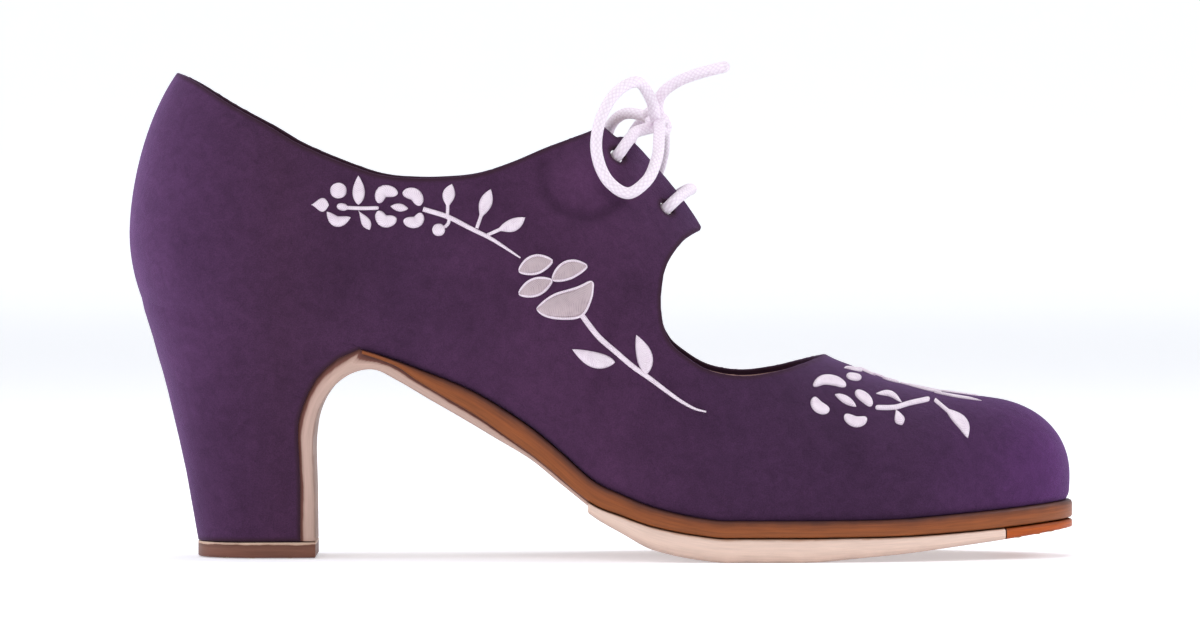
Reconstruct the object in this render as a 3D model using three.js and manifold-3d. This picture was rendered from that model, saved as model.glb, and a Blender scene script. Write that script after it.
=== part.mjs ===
// Flamenco shoe: a suede dance shoe with laced instep tabs, a stacked leather sole and a
// covered heel. Millimetres. +X runs to the toe, +Y to the inner side of the foot, +Z up.
// Z = 0 is the floor, and the origin is the middle of the heel's walking surface.
import * as THREE from 'three';
import { mergeVertices } from 'three/addons/utils/BufferGeometryUtils.js';
import Module from 'manifold-3d';

const wasm = await Module();
wasm.setup();

// Driving dimensions
const shoeLength = 240; // from the furthest point of the counter to the toe
const ballWidth = 77; // across the upper's lower edge at the ball of the foot
const seatWidth = 55; // the same across the heel seat
const lastCurve = 4; // how far the toe swings to the inner side
const seatRise = 55.2; // back of the heel seat above the ball of the foot
const toeRise = 4; // upper's lower edge at the toe above the ball of the foot
const counterHeight = 60; // collar above the heel seat, at the back
const instepHeight = 95; // top of the tabs above the sole below them
const throatHeight = 41; // end of the throat opening above the sole
const toeHeight = 28; // toe box above the sole
const wall = 2; // suede and its lining
const outsoleThickness = 4.3;
const halfSoleThickness = 5.9;
const waistLeather = 1; // pale leather under the waist
const breastLeather = 3.6; // the same leather on the heel breast
const insoleThickness = 2.5;
const soleEdge = 1; // how far the sole stands out past the upper
const gap = 0.3; // between pieces that meet
const heelSet = 17.5; // heel's walking surface, forward of the counter
const topLiftLength = 30.3;
const topLiftWidth = 33;
const topLiftThickness = 4.4;
const breastFlare = 16; // how far the heel breast sweeps forward under the seat
const tabGap = 10; // between the two tabs
const eyeletBore = 4;
const laceThickness = 3;
const laceRise = 0.5; // clear space between a run of lace and the suede
const barLean = 4.6; // how far a run of lace leans to the toe as it climbs the instep
const knotLength = 9;
const knotWidth = 8;
const knotThickness = 5;

const suede = { color: '#4a2c4c', roughness: 0.95, metalness: 0 };
const tanLeather = { color: '#9a5226', roughness: 0.5, metalness: 0 };
const paleLeather = { color: '#dcc0ae', roughness: 0.6, metalness: 0 };
const toeLeather = { color: '#a85016', roughness: 0.5, metalness: 0 };
const liftLeather = { color: '#6b4636', roughness: 0.6, metalness: 0 };
const liningLeather = { color: '#b99a86', roughness: 0.7, metalness: 0 };
const laceCotton = { color: '#f2e2f0', roughness: 0.8, metalness: 0 };

const originAlong = heelSet + topLiftLength / 2;
const along = (share) => share * shoeLength - originAlong;

// A smooth line through a table: monotone between its rows, and level past its ends.
function smoothLine(rows, valueOf) {
  const xs = rows.map((row) => along(row.at));
  const ys = rows.map(valueOf);
  const steps = xs.slice(1).map((x, i) => (ys[i + 1] - ys[i]) / (x - xs[i]));
  const slopes = xs.map((_, i) => {
    if (i === 0 || i === xs.length - 1) return steps[Math.min(i, steps.length - 1)];
    if (steps[i - 1] * steps[i] <= 0) return 0;
    return 2 / (1 / steps[i - 1] + 1 / steps[i]);
  });
  return (x) => {
    if (x <= xs[0]) return ys[0];
    if (x >= xs[xs.length - 1]) return ys[ys.length - 1];
    const i = xs.findIndex((knot) => knot > x) - 1;
    const width = xs[i + 1] - xs[i];
    const t = (x - xs[i]) / width;
    const ease = t * t * (3 - 2 * t);
    const lean = slopes[i] * t * (1 - t) ** 2 - slopes[i + 1] * t ** 2 * (1 - t);
    return ys[i] * (1 - ease) + ys[i + 1] * ease + width * lean;
  };
}

// The sole seen from the side. `at` is a share of the shoe's length. `seat` and `toe` are
// shares of the two rises, and `tan` and `pale` are shares of the two layers' thickness.
const soleRows = [
  { at: 0.013, seat: 1, toe: 0, tan: 0.25, pale: 0.35 },
  { at: 0.041, seat: 0.962, toe: 0, tan: 0.25, pale: 0.35 },
  { at: 0.102, seat: 0.922, toe: 0, tan: 0.25, pale: 0.35 },
  { at: 0.164, seat: 0.866, toe: 0, tan: 0.25, pale: 0.35 },
  { at: 0.248, seat: 0.777, toe: 0, tan: 0.25, pale: 0.35 },
  { at: 0.283, seat: 0.728, toe: 0, tan: 0.3, pale: 0.35 },
  { at: 0.308, seat: 0.687, toe: 0, tan: 0.72, pale: 0.35 },
  { at: 0.362, seat: 0.592, toe: 0, tan: 1.28, pale: 0.35 },
  { at: 0.425, seat: 0.426, toe: 0, tan: 1.56, pale: 0.35 },
  { at: 0.457, seat: 0.314, toe: 0, tan: 1.55, pale: 0.35 },
  { at: 0.496, seat: 0.17, toe: 0, tan: 1.35, pale: 0.5 },
  { at: 0.522, seat: 0.117, toe: 0, tan: 1.21, pale: 0.7 },
  { at: 0.556, seat: 0.06, toe: 0, tan: 1.12, pale: 0.95 },
  { at: 0.6, seat: 0.016, toe: 0, tan: 1.02, pale: 1 },
  { at: 0.633, seat: 0, toe: 0, tan: 1, pale: 1 },
  { at: 0.712, seat: 0, toe: 0, tan: 1, pale: 1 },
  { at: 0.787, seat: 0, toe: 0.02, tan: 0.98, pale: 0.8 },
  { at: 0.891, seat: 0, toe: 0.4, tan: 1.06, pale: 0.53 },
  { at: 0.998, seat: 0, toe: 1, tan: 1.08, pale: 0.36 },
];
const stackHeight = outsoleThickness + halfSoleThickness + 2 * gap;
const featherLine = smoothLine(
  soleRows, (row) => stackHeight + seatRise * row.seat + toeRise * row.toe);
const tanThickness = smoothLine(soleRows, (row) => outsoleThickness * row.tan);
const paleThickness = smoothLine(soleRows, (row) => halfSoleThickness * row.pale);
const outsoleTop = (x) => featherLine(x) - gap;
const outsoleBottom = (x) => outsoleTop(x) - tanThickness(x);
const halfSoleTop = (x) => outsoleBottom(x) - gap;
const halfSoleBottom = (x) => halfSoleTop(x) - paleThickness(x);

// The sole seen from above: width as shares of the two widths, and the middle line's swing.
const outlineRows = [
  { at: 0.013, seat: 1, ball: 0, swing: 0 },
  { at: 0.13, seat: 1, ball: 0, swing: 0 },
  { at: 0.25, seat: 0.94, ball: 0, swing: -0.1 },
  { at: 0.36, seat: 0.5, ball: 0.27, swing: -0.5 },
  { at: 0.46, seat: 0, ball: 0.75, swing: -0.75 },
  { at: 0.56, seat: 0, ball: 0.89, swing: -0.7 },
  { at: 0.646, seat: 0, ball: 0.977, swing: -0.35 },
  { at: 0.71, seat: 0, ball: 1, swing: 0 },
  { at: 0.77, seat: 0, ball: 0.98, swing: 0.3 },
  { at: 0.83, seat: 0, ball: 0.92, swing: 0.55 },
  { at: 0.9, seat: 0, ball: 0.82, swing: 0.8 },
  { at: 0.998, seat: 0, ball: 0.68, swing: 0.9 },
];
const halfWidth = smoothLine(
  outlineRows, (row) => (seatWidth * row.seat + ballWidth * row.ball) / 2);
const middle = smoothLine(outlineRows, (row) => lastCurve * row.swing);

// The last's sections: how far the wall bulges past its lower edge, at which share of the
// section's height, and how round the top is (2 is an ellipse, less is a sharper ridge).
const sectionRows = [
  { at: 0.013, bulge: 1.15, bulgeAt: 0.25, power: 1.75, crest: 0 },
  { at: 0.13, bulge: 1.12, bulgeAt: 0.25, power: 1.85, crest: 0 },
  { at: 0.25, bulge: 1.14, bulgeAt: 0.26, power: 2, crest: 0 },
  { at: 0.36, bulge: 1.22, bulgeAt: 0.28, power: 2, crest: 0.2 },
  { at: 0.46, bulge: 1.16, bulgeAt: 0.28, power: 1.75, crest: 0.4 },
  { at: 0.56, bulge: 1.06, bulgeAt: 0.25, power: 1.6, crest: 0.5 },
  { at: 0.646, bulge: 1.025, bulgeAt: 0.22, power: 1.65, crest: 0.4 },
  { at: 0.71, bulge: 1.015, bulgeAt: 0.22, power: 1.75, crest: 0.3 },
  { at: 0.83, bulge: 1.015, bulgeAt: 0.24, power: 2, crest: 0.1 },
  { at: 0.998, bulge: 1.015, bulgeAt: 0.22, power: 2.15, crest: 0 },
];
const bulge = smoothLine(sectionRows, (row) => row.bulge);
const bulgeAt = smoothLine(sectionRows, (row) => row.bulgeAt);
const power = smoothLine(sectionRows, (row) => row.power);
const crest = smoothLine(sectionRows, (row) => lastCurve * row.crest);

// The last's top line, above the sole. Behind the tabs it is the leg's cone, which only
// leans the collar inwards: the collar opening cuts it away.
const topRows = [
  { at: 0.1, over: counterHeight, share: 1.165 },
  { at: 0.135, over: counterHeight, share: 1.2 },
  { at: 0.25, over: instepHeight, share: 0.85 },
  { at: 0.35, over: instepHeight, share: 0.95 },
  { at: 0.42, over: instepHeight, share: 1.015 },
  { at: 0.47, over: instepHeight, share: 1.03 },
  { at: 0.518, over: instepHeight, share: 1 },
  { at: 0.56, over: instepHeight, share: 0.918 },
  { at: 0.61, over: instepHeight, share: 0.793 },
  { at: 0.67, over: throatHeight, share: 1.444 },
  { at: 0.738, over: throatHeight, share: 0.998 },
  { at: 0.77, over: toeHeight, share: 1.34 },
  { at: 0.83, over: toeHeight, share: 1.145 },
  { at: 0.9, over: toeHeight, share: 1 },
];
const topHeight = smoothLine(topRows, (row) => row.over * row.share);
const topLine = (x) => featherLine(x) + topHeight(x);

// A place on the outline, q from 0 at the back of the heel to 1 at the toe. The heel and the
// toe are round ends, so the places close up there.
const heelEnd = along(0.013);
const heelRound = along(0.135);
const toeRound = along(0.8);
const toeEnd = along(0.998);
const heelShare = 0.2;
const toeShare = 0.76;
const heelPower = 2.2;
const toePower = 2.3;
const rightAngle = Math.PI / 2;

function placeAt(q) {
  if (q < heelShare) {
    const turn = rightAngle * q / heelShare;
    const x = heelRound - (heelRound - heelEnd) * Math.cos(turn) ** (2 / heelPower);
    return { x, closing: Math.sin(turn) ** (2 / heelPower) };
  }
  if (q > toeShare) {
    const turn = rightAngle * (1 - q) / (1 - toeShare);
    const x = toeRound + (toeEnd - toeRound) * Math.cos(turn) ** (2 / toePower);
    return { x, closing: Math.sin(turn) ** (2 / toePower) };
  }
  const t = (q - heelShare) / (toeShare - heelShare);
  return { x: heelRound + t * (toeRound - heelRound), closing: 1 };
}

function qAt(x) {
  if (x < heelRound) {
    const reach = Math.min(1, (heelRound - x) / (heelRound - heelEnd));
    return heelShare * Math.acos(reach ** (heelPower / 2)) / rightAngle;
  }
  if (x > toeRound) {
    const reach = Math.min(1, (x - toeRound) / (toeEnd - toeRound));
    return 1 - (1 - toeShare) * Math.acos(reach ** (toePower / 2)) / rightAngle;
  }
  return heelShare + (toeShare - heelShare) * (x - heelRound) / (toeRound - heelRound);
}

// The outline's edge on one side (-1 outer, +1 inner), moved outwards by `offset`.
function edgePoint(q, side, offset) {
  const at = (share) => {
    const { x, closing } = placeAt(share);
    return new THREE.Vector2(x, middle(x) + side * halfWidth(x) * closing);
  };
  if (q <= 0) return at(0).add(new THREE.Vector2(-offset, 0));
  if (q >= 1) return at(1).add(new THREE.Vector2(offset, 0));
  const step = 1e-4;
  const run = at(Math.min(1, q + step)).sub(at(Math.max(0, q - step))).normalize();
  return at(q).add(new THREE.Vector2(-run.y, run.x).multiplyScalar(side * offset));
}

// A point of the last's surface: v is 0 at the lower edge and 1 at the top line.
const heelGather = 0.3;
const toeGather = 0.5;
const bulgeShare = 0.25;

function topPlace(x) {
  if (x < heelRound) return heelRound + heelGather * (x - heelRound);
  if (x > toeRound) return toeRound + toeGather * (x - toeRound);
  return x;
}

function sectionPoint(x, v) {
  const out = bulge(x);
  const low = bulgeAt(x);
  if (v < bulgeShare) {
    const t = v / bulgeShare;
    return { reach: out - (out - 1) * (1 - t) ** 2, height: low * t };
  }
  const turn = rightAngle * (v - bulgeShare) / (1 - bulgeShare);
  const round = 2 / power(x);
  return {
    reach: out * Math.cos(turn) ** round,
    height: low + (1 - low) * Math.sin(turn) ** round,
  };
}

function lastPoint(q, side, v) {
  const foot = edgePoint(q, side, 0);
  const top = topPlace(foot.x);
  const topSide = middle(top) + crest(top);
  const { reach, height } = sectionPoint(foot.x, v);
  const base = featherLine(foot.x);
  return new THREE.Vector3(
    top + (foot.x - top) * reach,
    topSide + (foot.y - topSide) * reach,
    base + (topLine(top) - base) * height,
  );
}

// The height of the instep's surface over a point of the plan, between the round ends.
function instepPoint(x, y) {
  const topSide = middle(x) + crest(x);
  const foot = edgePoint(qAt(x), Math.sign(y - topSide) || 1, 0);
  const reach = Math.abs((y - topSide) / (foot.y - topSide)) / bulge(x);
  const low = bulgeAt(x);
  const height = low + (1 - low) * (1 - reach ** power(x)) ** (1 / power(x));
  const base = featherLine(x);
  return new THREE.Vector3(x, y, base + (topLine(x) - base) * height);
}

function instepNormal(x, y) {
  const step = 0.2;
  const forward = instepPoint(x + step, y).sub(instepPoint(x - step, y));
  const across = instepPoint(x, y + step).sub(instepPoint(x, y - step));
  return forward.cross(across).normalize();
}

// Closed meshes and solids
function closedGeometry(points, triangles) {
  const raw = new THREE.BufferGeometry();
  raw.setAttribute('position', new THREE.Float32BufferAttribute(points.flatMap((p) => [...p]), 3));
  raw.setIndex(triangles);
  const merged = mergeVertices(raw, 1e-4);
  const index = merged.getIndex().array;
  const kept = [];
  for (let i = 0; i < index.length; i += 3) {
    const [a, b, c] = [index[i], index[i + 1], index[i + 2]];
    if (a !== b && b !== c && c !== a) kept.push(a, b, c);
  }
  merged.setIndex(kept);
  return merged;
}

function toSolid(geometry) {
  const bare = geometry.clone();
  bare.deleteAttribute('normal');
  bare.deleteAttribute('uv');
  const merged = mergeVertices(bare, 1e-4);
  return new wasm.Manifold(new wasm.Mesh({
    numProp: 3,
    vertProperties: new Float32Array(merged.getAttribute('position').array),
    triVerts: new Uint32Array(merged.getIndex().array),
  }));
}

function toGeometry(solid) {
  const mesh = solid.getMesh();
  const geometry = new THREE.BufferGeometry();
  geometry.setAttribute('position', new THREE.BufferAttribute(mesh.vertProperties, 3));
  geometry.setIndex([...mesh.triVerts]);
  return geometry;
}

// A solid through rings that all have as many points, each ring closed and turning the same
// way, with its two end rings filled.
function loft(rings) {
  const count = rings[0].length;
  const points = rings.flat();
  const triangles = [];
  for (let r = 0; r + 1 < rings.length; r += 1) {
    for (let k = 0; k < count; k += 1) {
      const a = r * count + k;
      const b = r * count + (k + 1) % count;
      triangles.push(a, b, b + count, a, b + count, a + count);
    }
  }
  const last = (rings.length - 1) * count;
  for (let k = 1; k + 1 < count; k += 1) {
    triangles.push(0, k + 1, k, last, last + k, last + k + 1);
  }
  return closedGeometry(points, triangles);
}

// A plate that follows the outline between two places, with its top and bottom as functions.
function plate({ from, to, steps, offset, top, bottom }) {
  const start = qAt(from);
  const end = qAt(to);
  const rings = [];
  for (let i = 0; i <= steps; i += 1) {
    const q = start + (end - start) * i / steps;
    const outer = edgePoint(q, -1, offset);
    const inner = edgePoint(q, 1, offset);
    rings.push([
      new THREE.Vector3(outer.x, outer.y, bottom(outer.x)),
      new THREE.Vector3(inner.x, inner.y, bottom(inner.x)),
      new THREE.Vector3(inner.x, inner.y, top(inner.x)),
      new THREE.Vector3(outer.x, outer.y, top(outer.x)),
    ]);
  }
  return loft(rings);
}

// A cutter: an outline in the side view, drawn out across the whole shoe.
const cutReach = ballWidth;

function sideCutter(outline) {
  const shape = new THREE.Shape(outline);
  const geometry = new THREE.ExtrudeGeometry(shape, { depth: 2 * cutReach, bevelEnabled: false });
  geometry.rotateX(rightAngle);
  geometry.translate(0, cutReach, 0);
  return toSolid(geometry);
}

// The openings' edges in the side view, above the sole by shares of the sizes they follow.
const collarRows = [
  { at: 0.05, over: counterHeight, share: 1.002 },
  { at: 0.0725, over: counterHeight, share: 0.973 },
  { at: 0.111, over: counterHeight, share: 0.9 },
  { at: 0.146, over: counterHeight, share: 0.852 },
  { at: 0.18, over: counterHeight, share: 0.802 },
  { at: 0.215, over: counterHeight, share: 0.772 },
  { at: 0.263, over: counterHeight, share: 0.755 },
  { at: 0.302, over: counterHeight, share: 0.792 },
  { at: 0.337, over: instepHeight, share: 0.535 },
  { at: 0.37, over: instepHeight, share: 0.582 },
  { at: 0.405, over: instepHeight, share: 0.663 },
  { at: 0.441, over: instepHeight, share: 0.767 },
  { at: 0.471, over: instepHeight, share: 0.861 },
  { at: 0.495, over: instepHeight, share: 0.936 },
  { at: 0.518, over: instepHeight, share: 1 },
];
const throatRows = [
  { at: 0.616, over: instepHeight, share: 0.795 },
  { at: 0.61, over: instepHeight, share: 0.765 },
  { at: 0.6, over: instepHeight, share: 0.747 },
  { at: 0.587, over: instepHeight, share: 0.718 },
  { at: 0.571, over: instepHeight, share: 0.65 },
  { at: 0.565, over: instepHeight, share: 0.573 },
  { at: 0.566, over: instepHeight, share: 0.5 },
  { at: 0.573, over: instepHeight, share: 0.453 },
  { at: 0.587, over: throatHeight, share: 0.985 },
  { at: 0.615, over: throatHeight, share: 0.912 },
  { at: 0.65, over: throatHeight, share: 0.885 },
  { at: 0.685, over: throatHeight, share: 0.91 },
  { at: 0.71, over: throatHeight, share: 0.949 },
  { at: 0.738, over: throatHeight, share: 1 },
];
const edgeSteps = 34;

function openingEdge(rows) {
  const points = rows.map(({ at, over, share }) => {
    const x = along(at);
    return new THREE.Vector2(x, featherLine(x) + over * share);
  });
  return new THREE.SplineCurve(points).getPoints(edgeSteps);
}

function collarCutter() {
  const edge = openingEdge(collarRows);
  const back = edge[0];
  const front = edge[edge.length - 1];
  const above = featherLine(heelEnd) + 2 * instepHeight;
  return sideCutter([
    new THREE.Vector2(back.x - heelSet, back.y + wall),
    ...edge,
    new THREE.Vector2(front.x + wall, front.y + 2 * wall),
    new THREE.Vector2(front.x + wall, above),
    new THREE.Vector2(back.x - heelSet, above),
  ]);
}

function throatCutter() {
  const edge = openingEdge(throatRows);
  const top = edge[0];
  const front = edge[edge.length - 1];
  return sideCutter([
    new THREE.Vector2(top.x + tabGap, top.y + tabGap),
    ...edge,
    new THREE.Vector2(front.x + tabGap, front.y + wall),
    new THREE.Vector2(front.x + tabGap, top.y + tabGap),
  ]);
}

// The slot between the tabs. It widens past both of its ends, which rounds the tabs' corners.
const slotFlare = 6;
const slotSteps = 30;

function slotCutter() {
  const tabBack = along(collarRows[collarRows.length - 1].at);
  const tabFront = along(throatRows[0].at);
  const from = tabBack - slotFlare;
  const to = tabFront + slotFlare;
  const side = middle((from + to) / 2) + crest((from + to) / 2);
  const outer = [];
  const inner = [];
  for (let i = 0; i <= slotSteps; i += 1) {
    const x = from + (to - from) * i / slotSteps;
    const within = Math.min(x - tabBack, tabFront - x) / (2 * slotFlare);
    const reach = tabGap / 2 + slotFlare * Math.min(1, Math.max(0, 1 - within)) ** 3;
    outer.push(new THREE.Vector2(x, side - reach));
    inner.unshift(new THREE.Vector2(x, side + reach));
  }
  const shape = new THREE.Shape([...outer, ...inner]);
  const geometry = new THREE.ExtrudeGeometry(shape, { depth: instepHeight, bevelEnabled: false });
  geometry.translate(0, 0, featherLine(tabFront) + throatHeight + tabGap);
  return toSolid(geometry);
}

// Eyelets: two on each tab, at the same share of the instep's height.
const eyeletRows = [
  { name: 'upper', at: 0.518, share: 0.89 },
  { name: 'lower', at: 0.571, share: 0.895 },
];

function eyeletPlace({ at, share }, side) {
  const x = along(at);
  const low = bulgeAt(x);
  const height = (share - low) / (1 - low);
  const reach = bulge(x) * (1 - height ** power(x)) ** (1 / power(x));
  const topSide = middle(x) + crest(x);
  return instepPoint(x, topSide + (edgePoint(qAt(x), side, 0).y - topSide) * reach);
}

function eyeletCutter(row, side) {
  const place = eyeletPlace(row, side);
  const geometry = new THREE.CylinderGeometry(eyeletBore / 2, eyeletBore / 2, 6 * wall, 12);
  const up = new THREE.Vector3(0, 1, 0);
  const turn = new THREE.Quaternion().setFromUnitVectors(up, instepNormal(place.x, place.y));
  geometry.applyQuaternion(turn);
  geometry.translate(place.x, place.y, place.z);
  return toSolid(geometry);
}

// The upper: an outer and an inner skin, joined along the lower edge, less its openings.
const outlineSteps = 52;
const wallSteps = 15;

function shell() {
  const columns = 2 * outlineSteps;
  const rowsUp = wallSteps + 1;
  const points = [];
  for (let c = 0; c < columns; c += 1) {
    const step = c <= outlineSteps ? c : columns - c;
    const side = c <= outlineSteps ? -1 : 1;
    for (let r = 0; r < rowsUp; r += 1) {
      points.push(lastPoint(step / outlineSteps, side, r / wallSteps));
    }
  }
  const skin = [];
  for (let c = 0; c < columns; c += 1) {
    const next = (c + 1) % columns;
    for (let r = 0; r < wallSteps; r += 1) {
      const [a, b] = [c * rowsUp + r, next * rowsUp + r];
      skin.push(a, b, b + 1, a, b + 1, a + 1);
    }
  }
  const outer = closedGeometry(points, skin);
  outer.computeVertexNormals();
  const place = outer.getAttribute('position');
  const normal = outer.getAttribute('normal');
  const count = place.count;
  const all = [];
  for (let i = 0; i < count; i += 1) {
    all.push(new THREE.Vector3().fromBufferAttribute(place, i));
  }
  for (let i = 0; i < count; i += 1) {
    const out = new THREE.Vector3().fromBufferAttribute(normal, i);
    const onEdge = Math.abs(all[i].z - featherLine(all[i].x)) < 1e-3;
    if (onEdge) out.setZ(0).normalize();
    const moved = all[i].clone().addScaledVector(out, -wall);
    if (onEdge) moved.setZ(featherLine(moved.x));
    all.push(moved);
  }
  const faces = [...outer.getIndex().array];
  const inside = [];
  for (let i = 0; i < faces.length; i += 3) {
    inside.push(faces[i] + count, faces[i + 2] + count, faces[i + 1] + count);
  }
  return closedGeometry(all, [...faces, ...inside, ...rimFaces(faces, count)]);
}

// The strip between the two skins, along every edge that only one face of the skin has.
function rimFaces(faces, count) {
  const seen = new Set();
  for (let i = 0; i < faces.length; i += 3) {
    for (let k = 0; k < 3; k += 1) seen.add(`${faces[i + k]},${faces[i + (k + 1) % 3]}`);
  }
  const rim = [];
  for (const edge of seen) {
    const [a, b] = edge.split(',').map(Number);
    if (!seen.has(`${b},${a}`)) rim.push(b, a, a + count, b, a + count, b + count);
  }
  return rim;
}

function upperGeometry() {
  let solid = toSolid(shell());
  for (const cutter of [collarCutter(), throatCutter(), slotCutter()]) {
    solid = solid.subtract(cutter);
  }
  for (const row of eyeletRows) {
    for (const side of [-1, 1]) solid = solid.subtract(eyeletCutter(row, side));
  }
  return toGeometry(solid);
}

// The heel: each level is the heel seat's outline, drawn to the level's length and width.
// `up` runs from the top-lift to the seat. `back` is a share of the heel's set, `front` of
// the breast's flare, and `narrow` of the difference between the seat and the top-lift.
const heelRows = [
  { up: 0, back: 1, front: 0, narrow: 1 },
  { up: 0.14, back: 0.895, front: 0, narrow: 0.96 },
  { up: 0.28, back: 0.79, front: 0, narrow: 0.89 },
  { up: 0.41, back: 0.67, front: -0.01, narrow: 0.8 },
  { up: 0.53, back: 0.55, front: -0.03, narrow: 0.69 },
  { up: 0.62, back: 0.46, front: -0.02, narrow: 0.59 },
  { up: 0.7, back: 0.37, front: 0.05, narrow: 0.48 },
  { up: 0.77, back: 0.28, front: 0.14, narrow: 0.37 },
  { up: 0.84, back: 0.2, front: 0.26, narrow: 0.26 },
  { up: 0.9, back: 0.12, front: 0.42, narrow: 0.16 },
  { up: 0.95, back: 0.05, front: 0.62, narrow: 0.07 },
  { up: 1, back: 0, front: 1, narrow: 0 },
];
const seatFront = along(0.248);
const heelBaseBack = heelSet - originAlong;
const heelBaseFront = heelBaseBack + topLiftLength - breastLeather - gap;
const narrowing = 1 - topLiftWidth / seatWidth;

function heelPoint(row, place, side) {
  const back = heelEnd + (heelBaseBack - heelEnd) * row.back;
  const front = heelBaseFront + breastFlare * row.front;
  const share = (place.x - heelEnd) / (seatFront - heelEnd);
  const reach = halfWidth(place.x) * place.closing * (1 - narrowing * row.narrow);
  return new THREE.Vector3(
    back + share * (front - back),
    middle(place.x) * row.up + side * reach,
    topLiftThickness + row.up * (featherLine(place.x) - gap - topLiftThickness),
  );
}

const heelSteps = 16;

function heelPlaces() {
  const end = qAt(seatFront);
  const places = [];
  for (let i = 0; i <= heelSteps; i += 1) places.push(placeAt(end * i / heelSteps));
  return places;
}

function heelGeometry() {
  const places = heelPlaces();
  const nodes = [];
  const width = 2 * heelSteps + 1;
  for (const row of heelRows) {
    for (let i = heelSteps; i >= 0; i -= 1) nodes.push(heelPoint(row, places[i], -1));
    for (let i = 1; i <= heelSteps; i += 1) nodes.push(heelPoint(row, places[i], 1));
  }
  const triangles = [];
  for (let r = 0; r + 1 < heelRows.length; r += 1) {
    for (let k = 0; k < width; k += 1) {
      const a = r * width + k;
      const b = r * width + (k + 1) % width;
      triangles.push(a, b + width, b, a, a + width, b + width);
    }
  }
  const top = (heelRows.length - 1) * width;
  for (let k = 0; k < heelSteps; k += 1) {
    const [a, b] = [k, k + 1];
    const [c, d] = [width - 1 - k, width - 2 - k];
    triangles.push(a, b, c, b, d, c, top + a, top + c, top + b, top + b, top + c, top + d);
  }
  return closedGeometry(nodes, triangles);
}

// The top-lift: the heel's lowest level, drawn forward under the breast leather.
function topLiftGeometry() {
  const outline = [];
  const places = heelPlaces();
  const at = (place, side) => {
    const point = heelPoint(heelRows[0], place, side);
    const share = (point.x - heelBaseBack) / (heelBaseFront - heelBaseBack);
    return new THREE.Vector2(heelBaseBack + share * topLiftLength, point.y);
  };
  for (let i = heelSteps; i >= 0; i -= 1) outline.push(at(places[i], -1));
  for (let i = 1; i <= heelSteps; i += 1) outline.push(at(places[i], 1));
  const shape = new THREE.Shape(outline);
  return new THREE.ExtrudeGeometry(shape, {
    depth: topLiftThickness - gap, bevelEnabled: false,
  });
}

// The pale leather of the waist and the heel breast: a strip that climbs the breast, turns
// under the seat and runs down the waist to the half sole.
const halfSoleBack = along(0.488);
const waistRows = [
  { up: 0, thick: 1 },
  { up: 0.2, thick: 1 },
  { up: 0.41, thick: 1 },
  { up: 0.53, thick: 1.05 },
  { up: 0.62, thick: 1.1 },
  { up: 0.7, thick: 1.2 },
  { up: 0.77, thick: 1.3 },
  { up: 0.84, thick: 1.38 },
  { up: 0.9, thick: 1.4 },
  { up: 0.95, thick: 1.4 },
  { at: 0.262, thick: 0.8 },
  { at: 0.283, thick: 0.85 },
  { at: 0.308, thick: 0.75 },
  { at: 0.335, thick: 0.55 },
  { at: 0.362, thick: 0 },
  { at: 0.393, thick: 0 },
  { at: 0.425, thick: 0 },
  { at: 0.457, thick: 0 },
  { at: 0.484, thick: 0 },
];
const breastInset = 0.6; // the strip is this much narrower than the heel on each side

function heelFrontAt(up) {
  const i = Math.max(1, heelRows.findIndex((row) => row.up >= up));
  const [a, b] = [heelRows[i - 1], heelRows[i]];
  const t = (up - a.up) / (b.up - a.up);
  const row = {};
  for (const key of ['up', 'back', 'front', 'narrow']) row[key] = a[key] + t * (b[key] - a[key]);
  return heelPoint(row, placeAt(qAt(seatFront)), 1);
}

function waistLine() {
  return waistRows.map(({ up, at, thick }) => {
    if (up !== undefined) {
      const front = heelFrontAt(up);
      const side = middle(seatFront) * up;
      return { x: front.x, z: front.z, half: front.y - side - breastInset, side, thick };
    }
    const x = along(at);
    return {
      x, z: outsoleBottom(x), half: halfWidth(x) - breastInset, side: middle(x), thick,
    };
  });
}

function waistGeometry() {
  const line = waistLine();
  const rings = line.map((row, i) => {
    const before = line[Math.max(0, i - 1)];
    const after = line[Math.min(line.length - 1, i + 1)];
    const run = new THREE.Vector2(after.x - before.x, after.z - before.z).normalize();
    const down = i === 0 ? new THREE.Vector2(1, 0) : new THREE.Vector2(run.y, -run.x);
    const thick = Math.max(waistLeather, breastLeather * row.thick);
    const inner = new THREE.Vector2(row.x, row.z).addScaledVector(down, gap);
    const outer = inner.clone().addScaledVector(down, thick);
    const bevel = Math.min(thick, breastLeather) / 3;
    return [
      new THREE.Vector3(inner.x, row.side - row.half, inner.y),
      new THREE.Vector3(outer.x, row.side - row.half + bevel, outer.y),
      new THREE.Vector3(outer.x, row.side + row.half - bevel, outer.y),
      new THREE.Vector3(inner.x, row.side + row.half, inner.y),
    ];
  });
  return loft(rings);
}

// A tube with a round section along a smooth line through its points.
const laceSides = 8;

function tube(points, steps) {
  const path = new THREE.CatmullRomCurve3(points);
  const section = new THREE.Shape();
  section.absarc(0, 0, laceThickness / 2, 0, 2 * Math.PI, false);
  const geometry = new THREE.ExtrudeGeometry(section, {
    steps, curveSegments: laceSides / 2, bevelEnabled: false, extrudePath: path,
  });
  geometry.deleteAttribute('normal');
  geometry.deleteAttribute('uv');
  return mergeVertices(geometry, 1e-4);
}

// A run of lace from one eyelet over the instep to the other tab's eyelet. Between the tabs
// it is a straight bridge.
const barSteps = 12;
const barRound = 1.5; // how soon a run leans to the toe as it leaves its eyelet

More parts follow.
